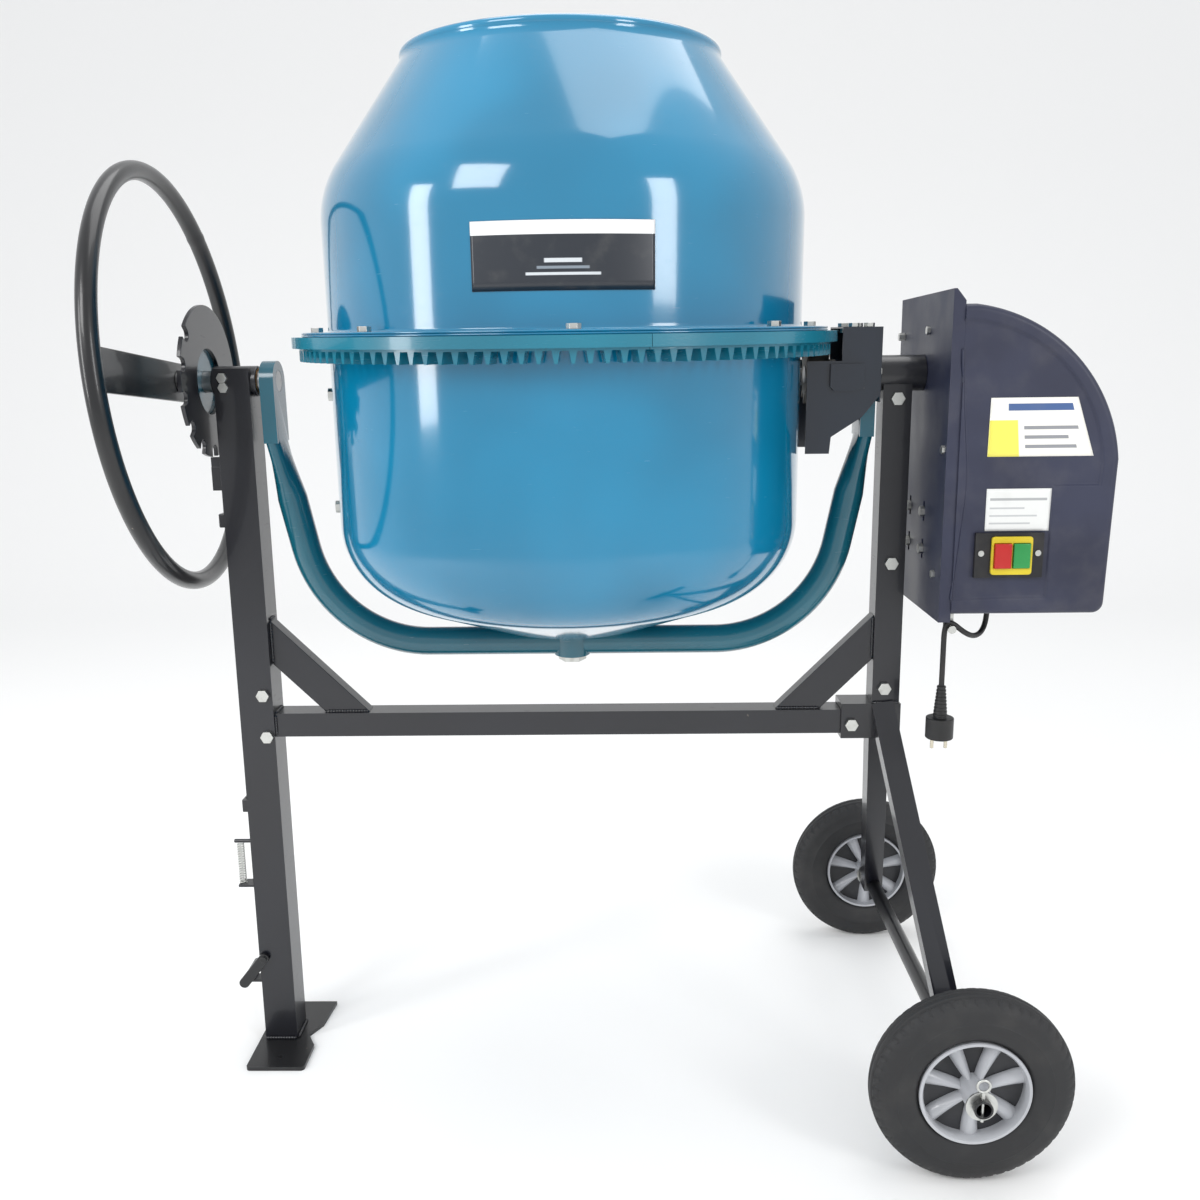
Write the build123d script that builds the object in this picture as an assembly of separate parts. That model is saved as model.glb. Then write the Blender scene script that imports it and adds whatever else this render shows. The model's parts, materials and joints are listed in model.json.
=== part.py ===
"""Tilting drum concrete mixer on a post frame with two wheels.

Millimetres. +X runs from the handwheel to the motor housing, +Y to the rear, +Z up. The shapes are
built about the drum's axis (x = 0, y = 0, ground at z = 0), and every part is moved at the end so that
the origin lies on the ground under the middle of the machine's overall box.
"""
from build123d import *
from math import atan2, cos, degrees, hypot, pi, radians, sin, tan
import os

os.makedirs("parts", exist_ok=True)

# ---- driving dimensions -------------------------------------------------------------------------
tilt_axis_height = 1027.0        # trunnions above the ground
drum_radius = 325.0              # outside of the drum's belly
track_half = 322.0               # wheel centres either side of the middle
wheel_radius = 131.0
handwheel_radius = 283.0         # centre line of the handwheel's rim
left_post_gap = 50.0             # from the yoke's arm to the centre plane of each post
right_post_gap = 42.0

running_gap = 0.05               # radial clearance of a shaft in its bearing
moving_gap = 0.5                 # between neighbours that move past each other
slip_gap = 0.5                   # between pieces that slide together when assembled
far = 2000.0                     # longer than the machine, for cuts that go right through

# drum
drum_wall = 3.0
drum_lean = 1.85                 # degrees that the resting notch leaves the drum leaning forward
floor_radius = 120.0             # flat disc at the bottom of the bowl
floor_slope = 20.4               # degrees, from the flat disc up to the corner
bowl_corner_radius = 113.0
bowl_side = 259.0                # from the seam down to the bowl's corner
cap_side = 139.0                 # from the seam up to the shoulder
cap_height = 347.0               # from the seam up to the mouth
shoulder_radius = 131.0
cone_angle = 35.0                # degrees from upright
rim_bead_radius = 6.0
rim_bead_rise = 3.0
flange_width = 35.0
flange_bolt_inset = 15.0         # from the flange's edge to the bolt circle
flange_bolt_count = 8
flange_bolt_offset = 4.0         # degrees
label_rise = (45.0, 120.0)       # label's edges above the seam
label_from = -106.1              # degrees
label_span = 36.8

# mixing blades
blade_angles = (7.7, 187.7)
blade_thickness = 4.0
blade_reach = 105.0
blade_foot = 30.0
blade_bolt_radius = 5.0
blade_bolt_drops = (235.0, 80.0)     # below the seam

# ring gear and pinion
ring_teeth = 120
ring_segments = 4
pinion_teeth = 12
pinion_length = 30.0
pinion_hub = (20.0, 12.0)        # radius and length
ring_bore_gap = 2.0
ring_plate_thickness = 14.0
tooth_seat = 3.0                 # strip below the plate that carries the teeth
tooth_inset = 11.0               # from the drum to the teeth
tooth_length = 28.0
ring_lip = 9.0                   # from the teeth to the plate's edge
tooth_width = 6.0                # of both gears, on the pitch line
tooth_addendum = 6.0
tooth_clearance = 2.0
tooth_flank = 11.3               # degrees
segment_joint_angle = -72.7      # degrees, place of one joint between segments
segment_gap_angle = 0.1

# yoke
yoke_tube_radius = 21.0
yoke_wall = 3.0
yoke_below_drum = 34.22          # from the drum's floor down to the cross run's centre line
yoke_bend_radius = 180.0
yoke_arm_gap = 47.0              # from the ring gear to the centre planes of the flattened ends
yoke_arm_run = 60.0              # how much nearer the arms stand where they meet the cross run
yoke_flat_thickness = 20.0
yoke_flat_width = 56.0
yoke_flat_drop = 82.0            # lower end of the flat, below the trunnions
yoke_round_drop = 167.0          # where the tube is fully round

# trunnions, sleeves and bushes
left_trunnion_radius = 15.0
left_sleeve_wall = 3.5
left_sleeve_reach = (31.0, 33.0)     # outwards and inwards of the post's centre plane
right_trunnion_radius = 20.0
right_sleeve_wall = 2.0
right_sleeve_gap = 7.0           # from the yoke's arm
bush_wall = 3.0

# drum spindle
spindle_radius = 12.5
spindle_flange_radius = 78.0
spindle_flange_thickness = 8.0
spindle_bolt_inset = 18.0
spindle_housing_radius = 27.0
spindle_bearing_radius = 22.0
bearing_height = 12.0
nut_flats = 36.0
nut_thickness = 8.0

# drive line
shaft_radius = 12.0
belt_inset = 15.0                # from the pan's rim to the middle of the belt
belt_width = 14.0
belt_thickness = 3.5
belt_gap = 0.3
large_pulley_radius = 74.0
small_pulley_radius = 17.0
motor_drop = 212.0               # below the trunnions
motor_radius = 62.0
motor_gap = 17.0                 # from the middle of the belt
motor_length = 145.0
motor_shaft_radius = 7.0

# handwheel, hub and lock disc
handwheel_gap = 41.5             # from the lock disc to the rim's plane
handwheel_tube_radius = 13.0
handwheel_lean = 3.8             # degrees that the rim's top stands outwards
handwheel_toe = 2.4              # degrees that the rim's front side stands inwards
handwheel_turn = -4.0            # degrees that its cross bar is off level at rest
bar_width = 55.0
bar_thickness = 6.0
lock_disc_radius = 106.0
lock_disc_bore = 46.0
lock_disc_gap = 8.0              # from the sleeve
lock_disc_thickness = 6.0
notch_radius = 9.0
notch_depth = 17.0
notch_pitch = 26.0               # degrees
notch_steps = (-5, 2)            # first and last notch, counted from the resting one
hub_disc_radius = 50.0
hub_disc_thickness = 6.0

# gear guard
guard_sheet = 2.0
guard_pinion_gap = 5.0
guard_rise = 64.0                # above the trunnions
guard_gap = 5.0                  # from the ring gear
guard_drum_gap = 6.0
guard_tooth_gap = 10.0
guard_bolt_offsets = (16.0, 37.0)    # outwards of the guard's lip
side_bolt_inset = 14.0

# frame
left_post_size = 50.0
right_post_size = 40.0
post_wall = 3.0
left_post_rise = 18.0            # post above the tilt axis
beam_depth = 40.0
beam_height = 36.0
beam_wall = 2.5
beam_drop = 120.0                # centre line below the yoke's
brace_width = 47.0
brace_depth = 24.0
brace_wall = 2.0
brace_rise = 108.0               # where its centre line meets the post, above the beam
head_reach = (65.0, 22.0)        # inwards and outwards of the post's centre plane
head_margin = (7.0, 10.0)        # below and above the beam
head_wall = 3.5
leg_width = 32.0
leg_depth = 30.0
leg_wall = 2.5
leg_foot_y = 262.0
leg_run = 56.0                   # from the post to the axle, outwards
axle_radius = 12.0
axle_bore = 9.5
axle_half_length = 376.0
foot_thickness = 6.0
anchor_hole_radius = 4.5
anchor_hole_offset = (12.0, -75.0)
cross_bolt_radius = 5.0
middle_bolt_drop = 268.0         # in the right post, below the trunnions

# wheels
tyre_width = 50.0
rim_radius = 70.6
rim_wall = 4.0
hub_radius = 18.0
hub_outer_y = 365.0
hub_inner_y = 290.0
spoke_count = 7
washer_thickness = 2.0
washer_radius = 20.0
pin_radius = 2.2

# motor housing
pan_gap = 39.0                   # from the right post's centre plane
pan_depth = 16.0
pan_reach = (330.0, 106.0)       # below and above the trunnions
pan_wall = 2.5
housing_half_width = 134.0
cover_wall = 3.5
cover_depth = 210.0              # from the pan's rim to the outer side
cover_draft = 6.0                # how far the side's foot stands in
cover_inset = (11.0, 19.0)       # from the pan's bottom and top
cover_corner_drop = 200.0        # where the side runs into the round corner
cover_crown_run = 15.0           # where the top runs into the round corner
cover_corner_bulge = 48.2        # height of the corner's arc over its chord
cover_edge_radius = 9.0
cover_foot_radius = 14.0         # lower outer corner
cover_crown_radius = 30.0        # where the round corner runs into the top and the side
label_thickness = 0.6

# switch
switch_offset = (71.5, 81.0)     # from the pan's rim and the cover's bottom
switch_plate = (90.0, 60.0, 6.0)
switch_body = (66.0, 46.0, 34.0)
switch_frame_size = (54.0, 51.0, 4.0)
switch_frame_offset = 2.5
switch_screw_offset = (37.5, 3.0)
button_size = (22.0, 33.0)
button_pitch = 25.0
button_proud = 5.0
button_travel = 3.0
button_gap = 0.3
button_depth = 12.0

# latch
strap_gap = 1.0                  # from the post
strap_thickness = 5.0
strap_half_width = 10.0
pedal_pivot_offset = 17.0        # outwards of the post's centre plane
pedal_pivot_height = 146.0
pedal_bar_offset = 50.0
pedal_bar_height = 105.0
pedal_bar_radius = 6.0
guide_heights = (393.0, 830.0)
spring_pin_height = 336.0
spring_foot_height = 266.0
spring_offset = (13.0, -16.0)    # outwards of the strap, and across
spring_radius = 6.0

# cord, from the gland to the plug: points of its route
cord_radius = 3.75
cord_route = [
    (590.0, -60.0, 704.0), (590.0, -60.0, 684.0), (580.0, -72.0, 668.0), (562.0, -95.0, 668.0),
    (543.6, -112.0, 677.7), (525.2, -112.0, 693.1), (516.25, -112.0, 688.94), (516.25, -112.0, 602.0),
]
gland_place = (73.0, -60.0)      # outwards of the pan's rim, and across
gland_radius = 8.0
gland_nut = (12.0, 3.0)          # radius and height
gland_tail = 1.0                 # down to the end of the cord's sleeve
hook_place = (7.0, -112.0)       # outwards of the pan's rim, and across
hook_drop = 24.0                 # below the cover
hook_radius = 2.5
plug_relief_length = 45.0
plug_body_length = 30.0
plug_body_radius = 19.0
plug_pin_radius = 2.4
plug_root_radius = 3.2           # crimped end inside the plug
plug_root_length = 8.0
plug_pin_length = 15.0
plug_pin_pitch = 19.0

# ---- worked out from the driving dimensions -----------------------------------------------------
tooth_inner_radius = drum_radius + tooth_inset
tooth_outer_radius = tooth_inner_radius + tooth_length
ring_outer_radius = tooth_outer_radius + ring_lip
ring_bore_radius = drum_radius + ring_bore_gap
ring_pitch_radius = (tooth_inner_radius + tooth_outer_radius) / 2
pinion_pitch_radius = ring_pitch_radius * pinion_teeth / ring_teeth
pinion_face = (ring_pitch_radius - pinion_length / 2, ring_pitch_radius + pinion_length / 2)
pinion_outer_radius = pinion_pitch_radius + tooth_addendum
pinion_root_radius = pinion_pitch_radius - tooth_addendum - tooth_clearance
pitch_height = tilt_axis_height + pinion_pitch_radius
tooth_tip_height = pitch_height - tooth_addendum
tooth_root_height = pitch_height + tooth_addendum + tooth_clearance
ring_bottom = tooth_root_height + tooth_seat
ring_top = ring_bottom + ring_plate_thickness
seam_height = ring_top + drum_wall
flange_radius = drum_radius + flange_width
flange_bolt_circle = flange_radius - flange_bolt_inset
shoulder_height = seam_height + cap_side
mouth_height = seam_height + cap_height
bowl_corner_height = seam_height - bowl_side
slope = radians(floor_slope)
slope_run = drum_radius - bowl_corner_radius * (1 - sin(slope)) - floor_radius
floor_height = bowl_corner_height - bowl_corner_radius * cos(slope) - slope_run * tan(slope)
inner_radius = drum_radius - drum_wall

yoke_arm_x = ring_outer_radius + yoke_arm_gap
yoke_corner_x = yoke_arm_x - yoke_arm_run
yoke_bottom_height = floor_height - yoke_below_drum
yoke_flat_height = tilt_axis_height - yoke_flat_drop
yoke_round_height = tilt_axis_height - yoke_round_drop
post_left_x = -yoke_arm_x - left_post_gap
post_right_x = yoke_arm_x + right_post_gap
left_post_face = post_left_x - left_post_size / 2
left_sleeve_ends = (post_left_x - left_sleeve_reach[0], post_left_x + left_sleeve_reach[1])
lock_disc_faces = (left_sleeve_ends[0] - lock_disc_gap - lock_disc_thickness,
                   left_sleeve_ends[0] - lock_disc_gap)
handwheel_x = lock_disc_faces[0] - handwheel_gap
strap_x = (left_post_face - strap_gap - strap_thickness, left_post_face - strap_gap)
pedal_pivot = (post_left_x - pedal_pivot_offset, pedal_pivot_height)
pedal_bar = (post_left_x - pedal_bar_offset, pedal_bar_height)

beam_centre_height = yoke_bottom_height - beam_drop
beam_top = beam_centre_height + beam_height / 2
beam_bottom = beam_centre_height - beam_height / 2
brace_top_height = beam_top + brace_rise
head_x = (post_right_x - head_reach[0], post_right_x + head_reach[1])
head_height = (beam_bottom - head_margin[0], beam_top + head_margin[1])
wheel_x = post_right_x + leg_run

pan_x = (post_right_x + pan_gap, post_right_x + pan_gap + pan_depth)
pan_height = (tilt_axis_height - pan_reach[0], tilt_axis_height + pan_reach[1])
cover_right_x = pan_x[1] + cover_depth
cover_foot_x = cover_right_x - cover_draft
cover_bottom = pan_height[0] + cover_inset[0]
cover_top = pan_height[1] - cover_inset[1]
cover_side_top = cover_top - cover_corner_drop
cover_crown_x = pan_x[1] + cover_crown_run
switch_x = pan_x[1] + switch_offset[0]
switch_height = cover_bottom + switch_offset[1]
belt_plane = pan_x[1] + belt_inset
motor_height = tilt_axis_height - motor_drop
motor_ends = (belt_plane + motor_gap, belt_plane + motor_gap + motor_length)

housing_front = -housing_half_width
handwheel_square_on = cos(radians(handwheel_lean)) * cos(radians(handwheel_toe))
left_edge = handwheel_x - handwheel_radius * (1 - handwheel_square_on ** 2) ** 0.5 - handwheel_tube_radius
centre_x = (left_edge + cover_right_x) / 2

parts = {}


# ---- small builders -----------------------------------------------------------------------------
def rod_x(radius, x0, x1, y=0.0, z=0.0):
    """Round bar along X."""
    return Pos((x0 + x1) / 2, y, z) * Rot(0, 90, 0) * Cylinder(radius, x1 - x0)


def rod_y(radius, y0, y1, x=0.0, z=0.0):
    """Round bar along Y."""
    return Pos(x, (y0 + y1) / 2, z) * Rot(90, 0, 0) * Cylinder(radius, y1 - y0)


def rod_z(radius, z0, z1, x=0.0, y=0.0):
    """Upright round bar."""
    return Pos(x, y, (z0 + z1) / 2) * Cylinder(radius, z1 - z0)


def block(x0, x1, y0, y1, z0, z1):
    """Box between two corners."""
    return Pos((x0 + x1) / 2, (y0 + y1) / 2, (z0 + z1) / 2) * Box(x1 - x0, y1 - y0, z1 - z0)


def plate_xz(outline, y0, y1):
    """Flat plate with an outline in X and Z, between two planes across Y."""
    face = make_face(Polyline(*outline, close=True))
    return Pos(0, (y0 + y1) / 2, 0) * extrude(Plane.XZ * face, (y1 - y0) / 2, both=True)


def hexagon_y(flats, y0, y1, x, z):
    """Hexagonal bar along Y."""
    prism = extrude(RegularPolygon(flats / 2, 6, major_radius=False), (y1 - y0) / 2, both=True)
    return Pos(x, (y0 + y1) / 2, z) * Rot(90, 0, 0) * prism


def hexagon_z(flats, z0, z1, x=0.0, y=0.0):
    """Upright hexagonal bar."""
    prism = extrude(RegularPolygon(flats / 2, 6, major_radius=False), (z1 - z0) / 2, both=True)
    return Pos(x, y, (z0 + z1) / 2) * prism


def hexagon_x(flats, x0, x1, y, z):
    """Hexagonal bar along X."""
    prism = extrude(RegularPolygon(flats / 2, 6, major_radius=False), (x1 - x0) / 2, both=True)
    return Pos((x0 + x1) / 2, y, z) * Rot(0, 90, 0) * prism


def cross_bolt(x, z, half_width, flats=17.0):
    """Bolt right through a tube from the front, with its nut behind."""
    head = hexagon_y(flats, -half_width - 6.4, -half_width, x, z)
    nut = hexagon_y(flats, half_width, half_width + 8.0, x, z)
    return head + rod_y(cross_bolt_radius, -half_width - 1, half_width + 10.0, x, z) + nut


def turned(shape, angle):
    """Turn a shape about the tilt axis."""
    return shape.rotate(Axis((0, 0, tilt_axis_height), (1, 0, 0)), angle)


def add(node, *solids):
    """Keep one or more solids under a node's name."""
    parts[node] = [solid for shape in solids for solid in shape.solids()]


# ---- frame --------------------------------------------------------------------------------------
def square_tube(size_x, size_y, wall, x, z0, z1):
    """Upright square tube, open at both ends."""
    outer = block(x - size_x / 2, x + size_x / 2, -size_y / 2, size_y / 2, z0, z1)
    return outer - block(x - size_x / 2 + wall, x + size_x / 2 - wall, -size_y / 2 + wall,
                         size_y / 2 - wall, z0 - 1, z1 + 1)


left_bolts = [(post_left_x + 12, beam_centre_height + 48), (post_left_x + 14, beam_centre_height - 16)]
right_bolts = [(post_right_x, tilt_axis_height - 35), (post_right_x, tilt_axis_height - middle_bolt_drop),
               (post_right_x - 3, head_height[1] + 22.5)]
head_bolt = (head_x[0] + 15, beam_centre_height - 3.4)
bolt_hole_radius = cross_bolt_radius + slip_gap / 2
sleeve_screws = [(post_left_x - 12, tilt_axis_height + 5), (post_left_x - 11, tilt_axis_height - 8.5)]
left_bush_radius = left_trunnion_radius + bush_wall
left_sleeve_radius = left_bush_radius + left_sleeve_wall
right_bush_radius = right_trunnion_radius + bush_wall
right_sleeve_radius = right_bush_radius + right_sleeve_wall
left_inside = left_post_size / 2 - post_wall

left_post = square_tube(left_post_size, left_post_size, post_wall, post_left_x, foot_thickness,
                        tilt_axis_height + left_post_rise)
left_post -= rod_x(left_sleeve_radius, post_left_x - 40, post_left_x + 40, 0, tilt_axis_height)
for x, z in left_bolts:
    left_post -= rod_y(bolt_hole_radius, -40, 40, x, z)
for x, z in sleeve_screws:
    left_post -= rod_y(4.0, -40, 0, x, z)
left_post -= rod_y(5.0 + running_gap, -40, 40, *pedal_pivot)
add("left_post", left_post)

right_post = square_tube(right_post_size, right_post_size, post_wall, post_right_x, head_height[1],
                         tilt_axis_height - 5)
right_post -= rod_x(right_sleeve_radius, post_right_x - 40, post_right_x + 40, 0, tilt_axis_height)
for x, z in right_bolts:
    right_post -= rod_y(bolt_hole_radius, -40, 40, x, z)
add("right_post", right_post)

foot_outline = [(-33, -102), (56, -102), (56, -43), (40, -14), (56, 16), (62, 80), (-33, 80)]
foot = Pos(post_left_x, 0, 0) * extrude(make_face(Polyline(*foot_outline, close=True)), foot_thickness)
foot = fillet(foot.edges().filter_by(Axis.Z).group_by(Axis.Y)[0], 6)
foot -= rod_z(anchor_hole_radius, -1, foot_thickness + 1, post_left_x + anchor_hole_offset[0],
              anchor_hole_offset[1])
add("foot_plate", foot)

beam_left = post_left_x + left_post_size / 2
beam_right = head_x[1] - 4
beam = block(beam_left, beam_right, -beam_depth / 2, beam_depth / 2, beam_bottom, beam_top)
beam -= block(beam_left - 1, beam_right + 1, -beam_depth / 2 + beam_wall, beam_depth / 2 - beam_wall,
              beam_bottom + beam_wall, beam_top - beam_wall)
beam -= rod_y(bolt_hole_radius, -40, 40, *head_bolt)
add("cross_beam", beam)


def brace(post_face, inward):
    """Mitred strut from a post's inner face down to the top of the beam; inward is +1 or -1 along X."""
    drop = brace_top_height - beam_top
    half = brace_width / 2 * 2 ** 0.5

    def strip(half_height):
        return [(post_face, brace_top_height + half_height), (post_face, brace_top_height - half_height),
                (post_face + inward * (drop - half_height), beam_top),
                (post_face + inward * (drop + half_height), beam_top)]

    def reach(half_height):
        over = 5.0
        return [(post_face - inward * over, brace_top_height + half_height + over),
                (post_face - inward * over, brace_top_height - half_height + over),
                (post_face + inward * (drop - half_height + over), beam_top - over),
                (post_face + inward * (drop + half_height + over), beam_top - over)]

    inner = half - brace_wall * 2 ** 0.5
    depth = brace_depth / 2
    hollow = plate_xz(reach(inner), brace_wall - depth, depth - brace_wall)
    return plate_xz(strip(half), -depth, depth) - hollow


add("left_brace", brace(beam_left, 1))
add("right_brace", brace(post_right_x - right_post_size / 2, -1))

head_half = beam_depth / 2 + slip_gap + head_wall
head = block(*head_x, -head_half, head_half, *head_height)
head -= block(head_x[0] - 1, head_x[1] + 1, -head_half + head_wall, head_half - head_wall,
              beam_bottom - slip_gap, beam_top + slip_gap)
head -= rod_y(bolt_hole_radius, -40, 40, *head_bolt)
for x, z in right_bolts[2:]:
    head -= rod_y(bolt_hole_radius, -40, 40, x, z)
add("leg_head", head)


def leg(side):
    """Splayed rectangular tube from the head's cheek to the axle; side is -1 in front, +1 behind."""
    top = Vector(post_right_x - 1, side * head_half, (head_height[0] + head_height[1]) / 2)
    foot_point = Vector(wheel_x, side * leg_foot_y, wheel_radius)
    along = (foot_point - top).normalized()
    start = top - along * 60
    plane = Plane(origin=start, x_dir=Vector(0, 1, 0).cross(along), z_dir=along)
    length = (foot_point - start).length + 40
    tube = extrude(plane * Rectangle(leg_width, leg_depth), length)
    tube -= extrude(plane * Rectangle(leg_width - 2 * leg_wall, leg_depth - 2 * leg_wall), length)
    keep_y = sorted((side * head_half, side * (hub_inner_y - washer_thickness - 2)))
    tube &= block(wheel_x - 200, wheel_x + 200, *keep_y, wheel_radius - 15, head_height[1] + 60)
    return tube - rod_y(axle_radius, -axle_half_length, axle_half_length, wheel_x, wheel_radius)


add("front_leg", leg(-1))
add("rear_leg", leg(1))

axle = rod_y(axle_radius, -axle_half_length, axle_half_length, wheel_x, wheel_radius)
axle -= rod_y(axle_bore, -axle_half_length - 1, axle_half_length + 1, wheel_x, wheel_radius)
linch_y = hub_outer_y + moving_gap + washer_thickness + pin_radius + 0.4
for side in (-1, 1):
    axle -= rod_z(pin_radius + 0.1, wheel_radius - 20, wheel_radius + 20, wheel_x, side * linch_y)
add("axle", axle)

bolts = [cross_bolt(x, z, left_post_size / 2) for x, z in left_bolts]
bolts += [cross_bolt(x, z, right_post_size / 2) for x, z in right_bolts]
bolts += [cross_bolt(*head_bolt, head_half)]
for x, z in sleeve_screws:
    bolts.append(hexagon_y(13, -left_post_size / 2 - 5, -left_post_size / 2, x, z)
                 + rod_y(4.0, -left_post_size / 2, -left_inside, x, z))
add("frame_bolts", *bolts)

# ---- trunnion bearings on the posts -------------------------------------------------------------
left_sleeve = rod_x(left_sleeve_radius, *left_sleeve_ends, 0, tilt_axis_height)
left_sleeve -= rod_x(left_bush_radius, -far, 0, 0, tilt_axis_height)
add("left_bearing_sleeve", left_sleeve)

guard_wall_x = yoke_arm_x + yoke_flat_thickness / 2
right_sleeve_ends = (guard_wall_x + right_sleeve_gap, pan_x[0])
right_sleeve = rod_x(right_sleeve_radius, *right_sleeve_ends, 0, tilt_axis_height)
right_sleeve -= rod_x(right_bush_radius, 0, far, 0, tilt_axis_height)
add("right_bearing_sleeve", right_sleeve)

left_bush = rod_x(left_bush_radius, left_sleeve_ends[0], left_sleeve_ends[1], 0, tilt_axis_height)
left_bush -= rod_x(left_trunnion_radius + running_gap, -far, 0, 0, tilt_axis_height)
right_bush = rod_x(right_bush_radius, right_sleeve_ends[0], right_sleeve_ends[1] - 5, 0, tilt_axis_height)
right_bush -= rod_x(right_trunnion_radius + running_gap, 0, far, 0, tilt_axis_height)
add("trunnion_bushes", left_bush, right_bush)


# ---- wheels -------------------------------------------------------------------------------------
def wheel_solids(side):
    """Tyre and rim of one wheel, with the hub's long end outwards; side is -1 in front, +1 behind."""
    half = tyre_width / 2
    tread = wheel_radius - 3
    section = make_face(Polyline(
        (rim_radius, -half + 9), (rim_radius + 6, -half + 3), (wheel_radius - 34, -half),
        (wheel_radius - 12, -half + 5), (tread, -half + 15), (wheel_radius, 0), (tread, half - 15),
        (wheel_radius - 12, half - 5), (wheel_radius - 34, half), (rim_radius + 6, half - 3),
        (rim_radius, half - 9), close=True))
    tyre = revolve(Plane.XY * section, Axis.Y)
    seat = revolve(make_face(Polyline(
        (rim_radius - rim_wall, -half + 4), (rim_radius, -half + 4), (rim_radius, half - 4),
        (rim_radius - rim_wall, half - 4), close=True)), Axis.Y)
    hub = rod_y(hub_radius, hub_inner_y - track_half, hub_outer_y - track_half)
    web = rod_y(rim_radius - rim_wall + 1, -2.5, 2.5)
    near, out = hub_radius + 8, rim_radius - 10.6
    window_face = make_face(Polyline((near, 4), (out, 14), (out, -14), (near, -4), close=True))
    for index in range(spoke_count):
        angle = 360 / spoke_count * (index + 0.5)
        window = extrude(window_face, 5, both=True)
        web -= Rot(0, angle, 0) * Rot(90, 0, 0) * window
    rim = seat + web + hub - rod_y(axle_radius + running_gap, -90, 90)
    flip = Rot(0, 0, 180) if side < 0 else Rot(0, 0, 0)
    place = Pos(wheel_x, side * track_half, wheel_radius) * flip
    return place * tyre, place * rim


for name, side in (("front", -1), ("rear", 1)):
    tyre, rim = wheel_solids(side)
    add(name + "_tyre", tyre)
    add(name + "_rim", rim)


def washer(y0, y1):
    """Flat washer on the axle between two planes across Y."""
    low, high = sorted((y0, y1))
    return rod_y(washer_radius, low, high, wheel_x, wheel_radius) - rod_y(axle_radius, low - 1, high + 1,
                                                                         wheel_x, wheel_radius)


def linch_pin(side):
    """Cross pin through the axle's end with a ring at its top."""
    y = side * linch_y
    pin = rod_z(pin_radius, wheel_radius - 19, wheel_radius + 22, wheel_x, y)
    ring = Pos(wheel_x, y, wheel_radius + 30) * Rot(90, 0, 0) * Torus(8.0, 1.8)
    return pin + ring


retainers = []
for side in (-1, 1):
    outer = hub_outer_y + moving_gap
    inner = hub_inner_y - moving_gap
    retainers.append(washer(side * outer, side * (outer + washer_thickness)))
    retainers.append(washer(side * inner, side * (inner - washer_thickness)))
    retainers.append(linch_pin(side))
add("wheel_retainers", *retainers)


# ---- drum ---------------------------------------------------------------------------------------
def bowl_face(inset):
    """Half section of the bowl, drawn in by inset: flat disc, slope, round corner, straight side."""
    centre_r = drum_radius - bowl_corner_radius
    radius = bowl_corner_radius - inset

    def on_arc(angle):
        return (centre_r + radius * cos(angle), bowl_corner_height - radius * sin(angle))

    end = on_arc(pi / 2 - slope)
    edge_r = floor_radius - inset * tan(slope / 2)
    floor = end[1] - (end[0] - edge_r) * tan(slope)
    outline = Line((0, floor), (edge_r, floor)) + Line((edge_r, floor), end)
    outline += ThreePointArc(end, on_arc((pi / 2 - slope) / 2), on_arc(0))
    top = seam_height + (1 if inset else 0)
    outline += Polyline(on_arc(0), (drum_radius - inset, top), (0, top), (0, floor))
    return make_face(outline), floor


def cap_face(inset):
    """Half section of the upper drum, drawn in by inset: straight side, shoulder, cone."""
    cone = radians(cone_angle)
    centre_r = drum_radius - shoulder_radius
    radius = shoulder_radius - inset

    def on_arc(angle):
        return (centre_r + radius * cos(angle), shoulder_height + radius * sin(angle))

    end = on_arc(cone)
    top = mouth_height + (1 if inset else 0)
    mouth_r = end[0] - (top - end[1]) * tan(cone)
    low = seam_height - (1 if inset else 0)
    outline = Polyline((0, low), (drum_radius - inset, low), on_arc(0))
    outline += ThreePointArc(on_arc(0), on_arc(cone / 2), end)
    outline += Polyline(end, (mouth_r, top), (0, top), (0, low))
    return make_face(outline), mouth_r


bowl_outer = bowl_face(0)[0]
bowl_inner, floor_inside = bowl_face(drum_wall)
lower_drum = revolve(Plane.XZ * bowl_outer, Axis.Z)
lower_drum += rod_z(flange_radius, seam_height - drum_wall, seam_height)
lower_drum -= revolve(Plane.XZ * bowl_inner, Axis.Z)

cap_outer, mouth_radius = cap_face(0)
cap_inner = cap_face(drum_wall)[0]
upper_drum = revolve(Plane.XZ * cap_outer, Axis.Z)
upper_drum += rod_z(flange_radius, seam_height, seam_height + drum_wall)
upper_drum -= revolve(Plane.XZ * cap_inner, Axis.Z)
upper_drum += Pos(0, 0, mouth_height + rim_bead_rise) * Torus(mouth_radius - 2, rim_bead_radius)

flange_bolt_angles = [flange_bolt_offset + 360 / flange_bolt_count * i for i in range(flange_bolt_count)]
flange_bolts = []
for angle in flange_bolt_angles:
    x = flange_bolt_circle * cos(radians(angle))
    y = flange_bolt_circle * sin(radians(angle))
    top = seam_height + drum_wall
    flange_bolts.append(hexagon_z(15, top, top + 6.4, x, y) + rod_z(5, ring_bottom + 4, top, x, y))
    for_bolt = rod_z(5, ring_bottom + 4, top + 1, x, y)
    lower_drum -= for_bolt
    upper_drum -= for_bolt

spindle_bolt_circle = spindle_flange_radius - spindle_bolt_inset
spindle_bolt_places = [(spindle_bolt_circle * cos(radians(a)), spindle_bolt_circle * sin(radians(a)))
                       for a in (45, 135, 225, 315)]
for x, y in spindle_bolt_places:
    lower_drum -= rod_z(5, floor_height - 1, floor_height + 10, x, y)

# blades: two paddles standing inward from the wall, each held by two bolts through the bowl
blade_bolt_heights = [seam_height - drop for drop in blade_bolt_drops]


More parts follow.
